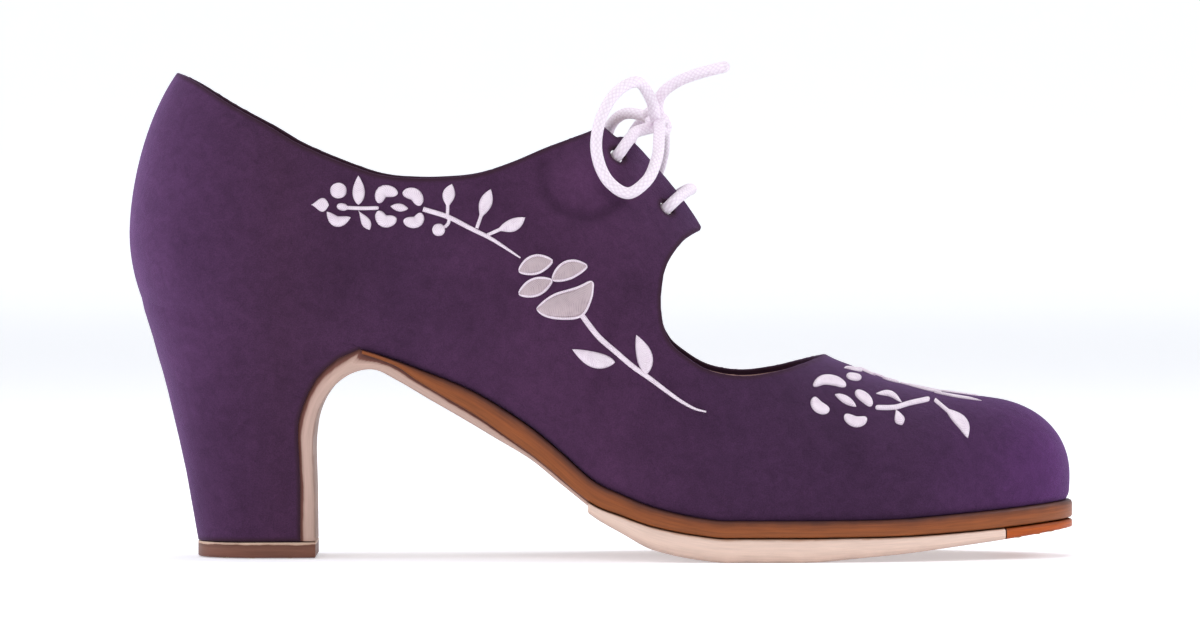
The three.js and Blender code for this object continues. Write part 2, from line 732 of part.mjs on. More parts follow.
function barGeometry(row) {
  const [outer, inner] = [eyeletPlace(row, -1), eyeletPlace(row, 1)];
  const points = [];
  for (let i = 0; i <= barSteps; i += 1) {
    const t = i / barSteps;
    const y = outer.y + (inner.y - outer.y) * t;
    const x = outer.x + barLean * (1 - Math.abs(2 * t - 1) ** barRound);
    const lift = laceThickness / 2 + laceRise;
    points.push(instepPoint(x, y).addScaledVector(instepNormal(x, y), lift));
  }
  return tube(points, barSteps);
}

// The bow. Its routes are chosen by hand, in millimetres from the bow's own seat.
const bowSeat = along(0.54);
const routes = {
  lace_loop_near: [
    [-0.5, -5, 1], [-1.6, -9, 5.5], [-5, -14, 10], [-10.5, -19, 7.3], [-14.6, -23, 0],
    [-15.4, -26, -8], [-12.5, -28, -15], [-7.6, -28.2, -18.1], [-3, -26.5, -15.2],
    [-0.3, -20.5, -9.7], [0.4, -12, -4], [0.5, -6.5, -1],
  ],
  lace_loop_far: [
    [1.2, 5, 0.8], [1.8, 10, 0], [1.9, 17, -3.2], [1.6, 23, -8.8], [-0.3, 27.5, -14.2],
    [-3.8, 28.5, -17.2], [-7, 26.5, -13.6], [-7.2, 21, -6.5], [-4.6, 13.5, -1], [-1.2, 6, 0.6],
  ],
  lace_end_near: [
    [0.1, -1.7, 3.9], [1.4, -4.8, 7.3], [5.8, -9, 10.4], [10.9, -14, 12.3], [16.8, -18.5, 13.8],
  ],
  lace_end_far: [
    [-4.4, 3.4, 1.7], [-8.4, 8.4, 1.9], [-11.8, 15.2, -1], [-13.4, 21.8, -7], [-14.6, 26.6, -13.4],
    [-15.4, 31, -21.6], [-15.8, 34.2, -30],
  ],
};

function bowOrigin() {
  const side = middle(bowSeat) + crest(bowSeat);
  const out = instepNormal(bowSeat, side);
  const lift = laceThickness + laceRise + gap + knotThickness / 2;
  return instepPoint(bowSeat, side).addScaledVector(out, lift);
}

function knotGeometry() {
  const geometry = new THREE.SphereGeometry(0.5, 14, 10);
  geometry.scale(knotLength, knotWidth, knotThickness);
  const side = middle(bowSeat) + crest(bowSeat);
  const lean = Math.atan2(instepNormal(bowSeat, side).x, instepNormal(bowSeat, side).z);
  geometry.rotateY(lean);
  const seat = bowOrigin();
  geometry.translate(seat.x, seat.y, seat.z);
  geometry.deleteAttribute('normal');
  geometry.deleteAttribute('uv');
  return mergeVertices(geometry, 1e-4);
}

function bowTube(route) {
  const seat = bowOrigin();
  const points = route.map(([x, y, z]) => new THREE.Vector3(x, y, z).add(seat));
  const length = new THREE.CatmullRomCurve3(points).getLength();
  return tube(points, Math.round(length / (2 * laceThickness)));
}

// The assembly
const shoe = new THREE.Group();

function add(name, geometry, finish) {
  const mesh = new THREE.Mesh(geometry, new THREE.MeshStandardMaterial(finish));
  mesh.name = name;
  shoe.add(mesh);
}

const tanBack = seatFront + gap;
const halfSoleFront = along(0.925);
const toePieceBack = halfSoleFront + gap;

add('upper', upperGeometry(), suede);
add('insole', plate({
  from: heelEnd,
  to: toeEnd,
  steps: 52,
  offset: -(wall + gap),
  top: (x) => featherLine(x) + insoleThickness,
  bottom: featherLine,
}), liningLeather);
add('outsole', plate({
  from: tanBack, to: toeEnd, steps: 44, offset: soleEdge, top: outsoleTop, bottom: outsoleBottom,
}), tanLeather);
add('half_sole', plate({
  from: halfSoleBack,
  to: halfSoleFront,
  steps: 30,
  offset: soleEdge,
  top: halfSoleTop,
  bottom: halfSoleBottom,
}), paleLeather);
add('toe_piece', plate({
  from: toePieceBack,
  to: toeEnd,
  steps: 10,
  offset: soleEdge,
  top: halfSoleTop,
  bottom: halfSoleBottom,
}), toeLeather);
add('waist_leather', waistGeometry(), paleLeather);
add('heel', heelGeometry(), suede);
add('top_lift', topLiftGeometry(), liftLeather);
for (const row of eyeletRows) add(`lace_bar_${row.name}`, barGeometry(row), laceCotton);
add('lace_knot', knotGeometry(), laceCotton);
for (const [name, route] of Object.entries(routes)) add(name, bowTube(route), laceCotton);

export default shoe;
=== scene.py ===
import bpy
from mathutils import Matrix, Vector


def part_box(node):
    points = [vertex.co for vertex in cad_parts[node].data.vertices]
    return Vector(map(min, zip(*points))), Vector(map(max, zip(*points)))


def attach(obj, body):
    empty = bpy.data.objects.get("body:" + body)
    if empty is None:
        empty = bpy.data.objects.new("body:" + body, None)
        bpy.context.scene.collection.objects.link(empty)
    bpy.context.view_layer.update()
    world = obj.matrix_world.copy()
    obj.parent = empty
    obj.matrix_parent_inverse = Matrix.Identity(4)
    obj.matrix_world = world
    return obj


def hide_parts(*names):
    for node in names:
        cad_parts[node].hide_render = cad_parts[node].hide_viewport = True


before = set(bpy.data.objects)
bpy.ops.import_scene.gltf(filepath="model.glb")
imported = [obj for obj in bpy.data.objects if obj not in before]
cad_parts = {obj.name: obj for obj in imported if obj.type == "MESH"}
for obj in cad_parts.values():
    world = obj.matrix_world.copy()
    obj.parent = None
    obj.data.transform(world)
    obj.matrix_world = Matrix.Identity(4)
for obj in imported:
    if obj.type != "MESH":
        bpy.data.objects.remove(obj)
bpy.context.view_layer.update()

# Flamenco shoe. Purple suede with two laced tabs over the instep, white floral embroidery,
# a stacked leather sole and a covered heel. Sizes are in millimetres and are turned to
# metres where a mesh is made. +X is to the toe, +Y to the inner side of the foot, +Z up.
import math

import bmesh
import bpy
import numpy as np
from mathutils import Vector
from mathutils.bvhtree import BVHTree


# Insole
# A fibreboard insole under a sock of thin tan leather, which is glued in when the last is
# out. It carries the foot, and the upper's edge is pulled over its rim.
MM = 0.001
shoe_length = 240.0
ball_width = 77.0
seat_width = 55.0
last_curve = 4.0
seat_rise = 55.2
toe_rise = 4.0
outsole_thickness = 4.3
half_sole_thickness = 5.9
insole_thickness = 2.5
wall = 2.0
gap = 0.3
heel_set = 17.5
top_lift_length = 30.3
origin_along = heel_set + top_lift_length / 2


def along(share):
    return np.asarray(share, float) * shoe_length - origin_along


def smooth_line(shares, values):
    """A smooth line through a table: monotone between its rows, and level past its ends."""
    xs, ys = along(shares), np.asarray(values, float)
    steps = np.diff(ys) / np.diff(xs)
    slopes = np.concatenate([steps[:1], np.zeros(len(xs) - 2), steps[-1:]])
    for i in range(1, len(xs) - 1):
        if steps[i - 1] * steps[i] > 0:
            slopes[i] = 2 / (1 / steps[i - 1] + 1 / steps[i])

    def line(x):
        x = np.asarray(x, float)
        i = np.clip(np.searchsorted(xs, x, side="right") - 1, 0, len(xs) - 2)
        width = xs[i + 1] - xs[i]
        t = np.clip((x - xs[i]) / width, 0, 1)
        ease = t * t * (3 - 2 * t)
        lean = slopes[i] * t * (1 - t) ** 2 - slopes[i + 1] * t**2 * (1 - t)
        return ys[i] * (1 - ease) + ys[i + 1] * ease + width * lean

    return line


# The sole from the side: shares of the heel's rise, of the toe's rise and of two thicknesses.
sole_rows = {
    "at": [0.013, 0.041, 0.102, 0.164, 0.248, 0.283, 0.308, 0.362, 0.425, 0.457, 0.496, 0.522,
           0.556, 0.6, 0.633, 0.712, 0.787, 0.891, 0.998],
    "seat": [1, 0.962, 0.922, 0.866, 0.777, 0.728, 0.687, 0.592, 0.426, 0.314, 0.17, 0.117,
             0.06, 0.016, 0, 0, 0, 0, 0],
    "toe": [0, 0, 0, 0, 0, 0, 0, 0, 0, 0, 0, 0, 0, 0, 0, 0, 0.02, 0.4, 1],
    "tan": [0.25, 0.25, 0.25, 0.25, 0.25, 0.3, 0.72, 1.28, 1.56, 1.55, 1.35, 1.21, 1.12, 1.02,
            1, 1, 0.98, 1.06, 1.08],
    "pale": [0.35, 0.35, 0.35, 0.35, 0.35, 0.35, 0.35, 0.35, 0.35, 0.35, 0.5, 0.7, 0.95, 1,
             1, 1, 0.8, 0.53, 0.36],
}
stack_height = outsole_thickness + half_sole_thickness + 2 * gap
feather_line = smooth_line(
    sole_rows["at"],
    stack_height + seat_rise * np.array(sole_rows["seat"])
    + toe_rise * np.array(sole_rows["toe"]),
)
tan_thickness = smooth_line(sole_rows["at"], outsole_thickness * np.array(sole_rows["tan"]))
pale_thickness = smooth_line(sole_rows["at"], half_sole_thickness * np.array(sole_rows["pale"]))


def outsole_top(x):
    return feather_line(x) - gap


def outsole_bottom(x):
    return outsole_top(x) - tan_thickness(x)


def half_sole_top(x):
    return outsole_bottom(x) - gap


def half_sole_bottom(x):
    return half_sole_top(x) - pale_thickness(x)


# The sole from above: shares of the two widths, and how far its middle line swings.
outline_rows = {
    "at": [0.013, 0.13, 0.25, 0.36, 0.46, 0.56, 0.646, 0.71, 0.77, 0.83, 0.9, 0.998],
    "seat": [1, 1, 0.94, 0.5, 0, 0, 0, 0, 0, 0, 0, 0],
    "ball": [0, 0, 0, 0.27, 0.75, 0.89, 0.977, 1, 0.98, 0.92, 0.82, 0.68],
    "swing": [0, 0, -0.1, -0.5, -0.75, -0.7, -0.35, 0, 0.3, 0.55, 0.8, 0.9],
}
half_width = smooth_line(
    outline_rows["at"],
    (seat_width * np.array(outline_rows["seat"])
     + ball_width * np.array(outline_rows["ball"])) / 2,
)
middle = smooth_line(outline_rows["at"], last_curve * np.array(outline_rows["swing"]))

heel_end, heel_round, toe_round, toe_end = along([0.013, 0.135, 0.8, 0.998])
heel_share, toe_share = 0.2, 0.76
heel_power, toe_power = 2.2, 2.3
RIGHT_ANGLE = math.pi / 2


def place_at(q):
    """A place on the outline, q from 0 at the back of the heel to 1 at the toe."""
    q = np.asarray(q, float)
    heel_turn = RIGHT_ANGLE * np.clip(q / heel_share, 0, 1)
    toe_turn = RIGHT_ANGLE * np.clip((1 - q) / (1 - toe_share), 0, 1)
    between = np.clip((q - heel_share) / (toe_share - heel_share), 0, 1)
    x = heel_round + between * (toe_round - heel_round)
    x = x - (heel_round - heel_end) * np.abs(np.cos(heel_turn)) ** (2 / heel_power)
    x = x + (toe_end - toe_round) * np.abs(np.cos(toe_turn)) ** (2 / toe_power)
    closing = np.sin(heel_turn) ** (2 / heel_power) * np.sin(toe_turn) ** (2 / toe_power)
    return x, closing


def q_at(x):
    x = np.asarray(x, float)
    heel_reach = np.clip((heel_round - x) / (heel_round - heel_end), 0, 1)
    toe_reach = np.clip((x - toe_round) / (toe_end - toe_round), 0, 1)
    heel_q = heel_share * np.arccos(heel_reach ** (heel_power / 2)) / RIGHT_ANGLE
    toe_q = 1 - (1 - toe_share) * np.arccos(toe_reach ** (toe_power / 2)) / RIGHT_ANGLE
    mid_q = heel_share + (toe_share - heel_share) * (x - heel_round) / (toe_round - heel_round)
    return np.where(x < heel_round, heel_q, np.where(x > toe_round, toe_q, mid_q))


def unit(vectors):
    """The same directions, each with a length of one."""
    return vectors / np.maximum(np.linalg.norm(vectors, axis=-1, keepdims=True), 1e-12)


def edge_points(q, side, offset):
    """The outline's edge on one side (-1 outer, +1 inner), moved outwards by offset."""
    q = np.asarray(q, float)

    def at(share):
        x, closing = place_at(share)
        return np.stack([x, middle(x) + side * half_width(x) * closing], axis=-1)

    step = 1e-4
    run = unit(at(np.clip(q + step, 0, 1)) - at(np.clip(q - step, 0, 1)))
    out = side * np.stack([-run[..., 1], run[..., 0]], axis=-1)
    out[q <= 0] = (-1, 0)
    out[q >= 1] = (1, 0)
    return at(q) + offset * out


def linear(colour):
    """An sRGB hex colour as the linear RGBA that a shader socket takes."""
    channels = [int(colour[i:i + 2], 16) / 255 for i in (1, 3, 5)]
    return [c / 12.92 if c <= 0.04045 else ((c + 0.055) / 1.055) ** 2.4 for c in channels] + [1]


def settle(tree, node, settings, links=()):
    """Sets a node up. "stops" are a ramp's places and sRGB hex colours, any other lower-case
    setting is a property, and the rest are values of sockets."""
    for name, value in settings.items():
        if name == "stops":
            elements = node.color_ramp.elements
            while len(elements) < len(value):
                elements.new(0.5)
            for element, (place, colour) in zip(elements, value):
                element.position = place
                element.color = linear(colour)
        elif isinstance(name, str) and name[0].islower():
            setattr(node, name, value)
        else:
            node.inputs[name].default_value = value
    for socket, source in dict(links).items():
        tree.links.new(source, node.inputs[socket])
    return node


def add(tree, kind, settings, links=()):
    """Adds a node with its settings and links."""
    return settle(tree, tree.nodes.new("ShaderNode" + kind), settings, links)


def finish(name):
    """A new material with its node tree and its shader."""
    made = bpy.data.materials.new(name)
    made.use_nodes = True
    tree = made.node_tree
    return made, tree, tree.nodes["Principled BSDF"]


def every(spacing):
    """The scale of a pattern that repeats about every so many millimetres."""
    return 1 / (spacing * MM)


# Sock leather: glazed sheepskin, a warm tan with a soft grain and a low sheen. The grain is
# really about 0.3 mm wide and is drawn at 0.7 mm, so that it shows.
sock_leather, tree, shader = finish("sock_leather")
place = add(tree, "TexCoord", {}).outputs["Object"]
cloud = add(tree, "TexNoise", {"Scale": every(16.7), "Detail": 3.0}, {"Vector": place})
tone = add(tree, "ValToRGB", {"stops": [(0.3, "#a98a76"), (0.7, "#c9ab97")]},
           {"Fac": cloud.outputs["Fac"]})
grain = add(tree, "TexVoronoi", {"Scale": every(0.714)}, {"Vector": place})
bump = add(tree, "Bump", {"Strength": 0.35, "Distance": 0.12 * MM},
           {"Height": grain.outputs["Distance"]})
settle(tree, shader, {"Roughness": 0.52},
       {"Base Color": tone.outputs["Color"], "Normal": bump.outputs["Normal"]})


def piece(name, points, faces, material, sharp=None, uv=None, clean="merged"):
    """A mesh object from points in millimetres, shaded smooth, that rides on the shoe. It is
    merged where points meet, or only turned to face out, or kept as it comes."""
    mesh = bpy.data.meshes.new(name)
    mesh.from_pydata((np.asarray(points, float) * MM).tolist(), [],
                     [[int(i) for i in face] for face in faces])
    if uv is not None:
        uv_layer = mesh.uv_layers.new(name="UVMap")
        corners = np.empty(len(mesh.loops), np.int32)
        mesh.loops.foreach_get("vertex_index", corners)
        uv_layer.data.foreach_set("uv", np.asarray(uv, np.float32)[corners].ravel())
    if clean != "kept":
        body = bmesh.new()
        body.from_mesh(mesh)
        if clean == "merged":
            bmesh.ops.remove_doubles(body, verts=body.verts, dist=0.002 * MM)
            bmesh.ops.dissolve_degenerate(body, edges=body.edges, dist=0.0001 * MM)
        bmesh.ops.recalc_face_normals(body, faces=body.faces)
        body.to_mesh(mesh)
        body.free()
    mesh.shade_smooth()
    if sharp is not None:
        mesh.set_sharp_from_angle(angle=math.radians(sharp))
    mesh.materials.append(material)
    made = bpy.data.objects.new(name, mesh)
    bpy.context.scene.collection.objects.link(made)
    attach(made, "root")
    return made


def tube_faces(rings, count, first=0, seam=False, capped=True):
    """Quads between rings of count points each and, if capped, a face over each end. With a
    seam a ring's last point lies on its first, so that the UVs can part there."""
    around = count - 1 if seam else count
    faces = [(first + r * count + k, first + r * count + (k + 1) % count,
              first + (r + 1) * count + (k + 1) % count, first + (r + 1) * count + k)
             for r in range(rings - 1) for k in range(around)]
    if capped:
        last = first + (rings - 1) * count
        faces.append(tuple(range(first, first + around))[::-1])
        faces.append(tuple(range(last, last + around)))
    return faces


def travelled(line):
    """How far along a line each of its points lies."""
    return np.concatenate([[0], np.cumsum(np.linalg.norm(np.diff(line, axis=0), axis=1))])


def layer(start, end, steps, offset, top, bottom, profile, across=6):
    """A flat layer that follows the outline. profile rows are (inset, share of its height),
    from the lower face to the upper. Returns points, faces and UVs in millimetres."""
    q = np.linspace(q_at(start), q_at(end), steps + 1)
    points, uv = [], []
    for inset, share in profile:
        outer, inner = (edge_points(q, side, offset - inset) for side in (-1, 1))
        ring = np.vstack([outer, inner[::-1]])
        low, high = bottom(ring[:, 0]), top(ring[:, 0])
        points.append(np.column_stack([ring, low + (high - low) * share]))
        uv.append(np.column_stack([travelled(ring), np.full(len(ring), share)]))
    faces = tube_faces(len(profile), 2 * (steps + 1), capped=False)
    shares = np.linspace(0, 1, across + 1)[:, None, None]
    for ring, level in ((points[0], 0.0), (points[-1], 1.0)):
        first = sum(len(rows) for rows in points)
        outer, inner = ring[:steps + 1], ring[steps + 1:][::-1]
        cross = (outer + (inner - outer) * shares).reshape(-1, 3)
        points.append(cross)
        uv.append(np.column_stack([cross[:, 0], np.full(len(cross), level)]))
        for i in range(across):
            for k in range(steps):
                a = first + i * (steps + 1) + k
                quad = (a, a + 1, a + steps + 2, a + steps + 1)
                faces.append(quad if level else quad[::-1])
    return np.vstack(points), faces, np.vstack(uv)


def insole_top(x):
    return feather_line(x) + insole_thickness


soft_edge = [(0.6, 0), (0.15, 0.15), (0, 0.4), (0, 0.7), (0.35, 0.92), (0.9, 1)]
points, faces, uv = layer(
    heel_end, toe_end, 120, -(wall + gap), insole_top, feather_line, soft_edge)
insole = piece("insole_sock", points, faces, sock_leather, sharp=40, uv=uv)
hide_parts("insole")


# Upper
# Quarters and vamp of brushed purple suede, cut in one with the two tabs, pulled over the
# last and cemented under the insole's rim. The openings' edges are dyed and turned in.
counter_height = 60.0
instep_height = 95.0
throat_height = 41.0
toe_height = 28.0
tab_gap = 10.0
eyelet_bore = 4.0

# The last's sections: how far the wall bulges, at which share of its height, and how round
# its top is. crest is a share of the last's curve.
section_rows = {
    "at": [0.013, 0.13, 0.25, 0.36, 0.46, 0.56, 0.646, 0.71, 0.83, 0.998],
    "bulge": [1.15, 1.12, 1.14, 1.22, 1.16, 1.06, 1.025, 1.015, 1.015, 1.015],
    "bulge_at": [0.25, 0.25, 0.26, 0.28, 0.28, 0.25, 0.22, 0.22, 0.24, 0.22],
    "power": [1.75, 1.85, 2, 2, 1.75, 1.6, 1.65, 1.75, 2, 2.15],
    "crest": [0, 0, 0, 0.2, 0.4, 0.5, 0.4, 0.3, 0.1, 0],
}
bulge = smooth_line(section_rows["at"], section_rows["bulge"])
bulge_at = smooth_line(section_rows["at"], section_rows["bulge_at"])
power = smooth_line(section_rows["at"], section_rows["power"])
crest = smooth_line(section_rows["at"], last_curve * np.array(section_rows["crest"]))

# The last's top line above the sole, as heights in millimetres.
top_rows = {
    "at": [0.1, 0.135, 0.25, 0.35, 0.42, 0.47, 0.518, 0.56, 0.61, 0.67, 0.738, 0.77, 0.83, 0.9],
    "height": [
        1.165 * counter_height, 1.2 * counter_height, 0.85 * instep_height,
        0.95 * instep_height, 1.015 * instep_height, 1.03 * instep_height, instep_height,
        0.918 * instep_height, 0.793 * instep_height, 1.444 * throat_height,
        0.998 * throat_height, 1.34 * toe_height, 1.145 * toe_height, toe_height,
    ],
}
top_height = smooth_line(top_rows["at"], top_rows["height"])


def top_line(x):
    return feather_line(x) + top_height(x)


heel_gather, toe_gather = 0.3, 0.5
bulge_share = 0.25


def last_points(q, side, v):
    """The last's surface over arrays of q, and of v from 0 at the lower edge to 1 on top."""
    foot = edge_points(q, side, 0)
    x, y = foot[:, 0], foot[:, 1]
    top = np.where(x < heel_round, heel_round + heel_gather * (x - heel_round), x)
    top = np.where(x > toe_round, toe_round + toe_gather * (x - toe_round), top)
    top_side = middle(top) + crest(top)
    out, low, sharpness = bulge(x)[:, None], bulge_at(x)[:, None], (2 / power(x))[:, None]
    v = np.asarray(v, float)[None, :]
    t = np.clip(v / bulge_share, 0, 1)
    turn = RIGHT_ANGLE * np.clip((v - bulge_share) / (1 - bulge_share), 0, 1)
    below = v < bulge_share
    reach = np.where(below, out - (out - 1) * (1 - t) ** 2,
                     out * np.abs(np.cos(turn)) ** sharpness)
    height = np.where(below, low * t, low + (1 - low) * np.sin(turn) ** sharpness)
    base = feather_line(x)
    return np.stack([
        top[:, None] + (x - top)[:, None] * reach,
        top_side[:, None] + (y - top_side)[:, None] * reach,
        base[:, None] + (top_line(top) - base)[:, None] * height,
    ], axis=-1)


def instep_point(x, y):
    """The last's surface over a point of the plan, between its round ends."""
    top_side = float(middle(x) + crest(x))
    side = 1 if y >= top_side else -1
    foot = edge_points(np.array([q_at(x)]), side, 0)[0]
    reach = min(1.0, abs((y - top_side) / (foot[1] - top_side)) / float(bulge(x)))
    low, round_top = float(bulge_at(x)), float(power(x))
    height = low + (1 - low) * (1 - reach**round_top) ** (1 / round_top)
    base = float(feather_line(x))
    return np.array([x, y, base + (float(top_line(x)) - base) * height])


def instep_normal(x, y):
    step = 0.2
    forward = instep_point(x + step, y) - instep_point(x - step, y)
    across = instep_point(x, y + step) - instep_point(x, y - step)
    return unit(np.cross(forward, across))


# The openings' edges in the side view: shares of the length, and heights above the sole.
collar_rows = {
    "at": [0.05, 0.0725, 0.111, 0.146, 0.18, 0.215, 0.263, 0.302, 0.337, 0.37, 0.405, 0.441,
           0.471, 0.495, 0.518],
    "height": np.concatenate([
        counter_height * np.array([1.002, 0.973, 0.9, 0.852, 0.802, 0.772, 0.755, 0.792]),
        instep_height * np.array([0.535, 0.582, 0.663, 0.767, 0.861, 0.936, 1]),
    ]),
}
throat_rows = {
    "at": [0.616, 0.61, 0.6, 0.587, 0.571, 0.565, 0.566, 0.573, 0.587, 0.615, 0.65, 0.685,
           0.71, 0.738],
    "height": np.concatenate([
        instep_height * np.array([0.795, 0.765, 0.747, 0.718, 0.65, 0.573, 0.5, 0.453]),
        throat_height * np.array([0.985, 0.912, 0.885, 0.91, 0.949, 1]),
    ]),
}


def bent(b, c, lean_b, lean_c, t):
    """The cubic from b to c that sets out with one lean and arrives with another."""
    return ((2 * b - 2 * c + lean_b + lean_c) * t**3
            + (3 * c - 3 * b - 2 * lean_b - lean_c) * t**2 + lean_b * t + b)


def opening_edge(rows, steps=150):
    """A Catmull-Rom curve through a table's points in the side view."""
    x = along(rows["at"])
    knots = np.column_stack([x, feather_line(x) + rows["height"]])
    padded = np.vstack([knots[:1], knots, knots[-1:]])
    edge = []
    for place in np.linspace(0, len(knots) - 1, steps + 1):
        i = min(int(place), len(knots) - 2)
        a, b, c, d = padded[i:i + 4]
        edge.append(bent(b, c, (c - a) / 2, (d - b) / 2, place - i))
    return np.array(edge)


def from_line(points, line):
    """The distance of points of the side view from an open line."""
    nearest = np.full(len(points), np.inf)
    for a, b in zip(line[:-1], line[1:]):
        run = b - a
        t = np.clip((points - a) @ run / max(run @ run, 1e-12), 0, 1)
        nearest = np.minimum(nearest, np.linalg.norm(points - a - t[:, None] * run, axis=1))
    return nearest


def outside(points, polygon):
    """How far points of the side view lie outside a closed polygon, negative inside it."""
    closed = np.vstack([polygon, polygon[:1]])
    nearest = from_line(points, closed)
    inside = np.zeros(len(points), bool)
    for a, b in zip(closed[:-1], closed[1:]):
        if a[1] != b[1]:
            spans = (a[1] > points[:, 1]) != (b[1] > points[:, 1])
            cross_x = a[0] + (points[:, 1] - a[1]) * (b[0] - a[0]) / (b[1] - a[1])
            inside ^= spans & (points[:, 0] < cross_x)
    return np.where(inside, -nearest, nearest)


collar_edge, throat_edge = opening_edge(collar_rows), opening_edge(throat_rows)
above = float(feather_line(heel_end)) + 2 * instep_height
collar_outline = np.vstack([
    [collar_edge[0] + (-heel_set, wall)], collar_edge, [collar_edge[-1] + (wall, 2 * wall)],
    [(collar_edge[-1][0] + wall, above)], [(collar_edge[0][0] - heel_set, above)],
])
throat_top = throat_edge[0] + (tab_gap, tab_gap)
throat_outline = np.vstack([
    [throat_top], throat_edge, [throat_edge[-1] + (tab_gap, wall)],
    [(throat_edge[-1][0] + tab_gap, throat_top[1])],
])
tab_back, tab_front = float(along(collar_rows["at"][-1])), float(along(throat_rows["at"][0]))
slot_flare = 6.0
slot_side = float(middle((tab_back + tab_front) / 2) + crest((tab_back + tab_front) / 2))
slot_floor = float(feather_line(tab_front)) + throat_height + tab_gap

eyelet_rows = {"upper": (0.518, 0.89), "lower": (0.571, 0.895)}


def eyelet_place(name, side):
    """An eyelet's middle on the suede, from its share of the length and of the height."""
    at, share = eyelet_rows[name]
    x = float(along(at))
    low, round_top = float(bulge_at(x)), float(power(x))
    height = (share - low) / (1 - low)
    reach = float(bulge(x)) * (1 - height**round_top) ** (1 / round_top)
    top_side = float(middle(x) + crest(x))
    foot = edge_points(np.array([q_at(x)]), side, 0)[0]
    return instep_point(x, top_side + (foot[1] - top_side) * reach)


def from_openings(points):
    """How far points of the last's surface lie from the nearest opening's edge."""
    flat = points[:, [0, 2]]
    clear = np.minimum(outside(flat, collar_outline), outside(flat, throat_outline))
    within = np.minimum(points[:, 0] - tab_back, tab_front - points[:, 0]) / (2 * slot_flare)
    reach = tab_gap / 2 + slot_flare * np.clip(1 - within, 0, 1) ** 3
    in_slot = np.abs(points[:, 1] - slot_side) - reach
    at_slot = (points[:, 2] > slot_floor) & (points[:, 0] > tab_back - slot_flare)
    clear = np.where(at_slot, np.minimum(clear, in_slot), clear)
    for name in eyelet_rows:
        for side in (-1, 1):
            centre = eyelet_place(name, side)
            axis = instep_normal(centre[0], centre[1])
            from_axis = points - centre
            from_axis = from_axis - (from_axis @ axis)[:, None] * axis
            hole = np.linalg.norm(from_axis, axis=1) - eyelet_bore / 2
            on_this_tab = (points[:, 1] - slot_side) * side > 0
            clear = np.where(on_this_tab, np.minimum(clear, hole), clear)
    return clear


# Soft forms: side (-1 outer, +1 inner), line in the side view, half-width, rise.
puff_centre = np.array([83.7, 98.2])
puff_radius = 11.2
puff_turns = np.radians(np.linspace(170, 315, 17))
puff_fold = puff_centre + puff_radius * np.column_stack([np.cos(puff_turns), np.sin(puff_turns)])
soft_forms = [
    (-1, puff_fold, 1.8, -0.75),
    (-1, np.array([[80.5, 96.5], [87.5, 99.0]]), 6.2, 0.8),
    (-1, np.array([[96.0, 70.0], [90.0, 60.0], [88.0, 48.0]]), 3.0, -0.35),
    (-1, np.array([[104.0, 46.0], [100.0, 36.0], [101.0, 27.0]]), 3.5, -0.3),
    (-1, np.array([[62.0, 92.0], [70.0, 82.0], [76.0, 70.0]]), 5.0, -0.35),
    (-1, np.array([[24.0, 92.0], [20.0, 80.0], [22.0, 68.0]]), 6.0, -0.35),
    (-1, np.array([[150.0, 34.0], [152.0, 24.0]]), 4.0, -0.25),
    (1, np.array([[96.0, 72.0], [91.0, 60.0], [90.0, 46.0]]), 3.2, -0.4),
    (1, np.array([[64.0, 92.0], [70.0, 80.0], [72.0, 66.0]]), 5.0, -0.4),
    (1, np.array([[106.0, 44.0], [102.0, 34.0], [103.0, 26.0]]), 3.5, -0.3),
    (1, np.array([[26.0, 90.0], [20.0, 78.0], [18.0, 66.0]]), 6.0, -0.35),
]
# The lower edge is tucked in over the sole, and not over the heel.
tuck_height, sole_tuck = 2.0, 0.5
tuck_start, tuck_full = 20.0, 34.0
back_end, back_seam_half, back_seam_depth = -10.0, 0.7, 0.3


def fold_rise(points):
    """How far the soft forms lift the suede, negative in their hollows."""
    flat = points[:, [0, 2]]
    rise = np.zeros(len(points))
    for side, line, half, height in soft_forms:
        away = from_line(flat, line) / half
        mine = (points[:, 1] - middle(points[:, 0])) * side > 0
        rise += np.where(mine, height * np.exp(-(away**2)), 0)
    return rise


def soft_rise(points):
    """How far the suede stands out past the last, from its folds and its tucked-in edge."""
    rise = fold_rise(points)
    over = points[:, 2] - feather_line(points[:, 0])
    tuck = np.interp(points[:, 0], [tuck_start, tuck_full], [0, sole_tuck])
    rise -= tuck * np.clip(1 - over / tuck_height, 0, 1) ** 2
    from_seam = np.abs(points[:, 1]) / back_seam_half
    rise -= np.where(points[:, 0] < back_end, back_seam_depth * np.exp(-(from_seam**2)), 0)
    return rise


def vertex_normals(points, triangles):
    """The mean direction of the triangles about each point."""
    corners = points[triangles]
    face = np.cross(corners[:, 1] - corners[:, 0], corners[:, 2] - corners[:, 0])
    out = np.zeros_like(points)
    for k in range(3):
        np.add.at(out, triangles[:, k], face)
    return unit(out)


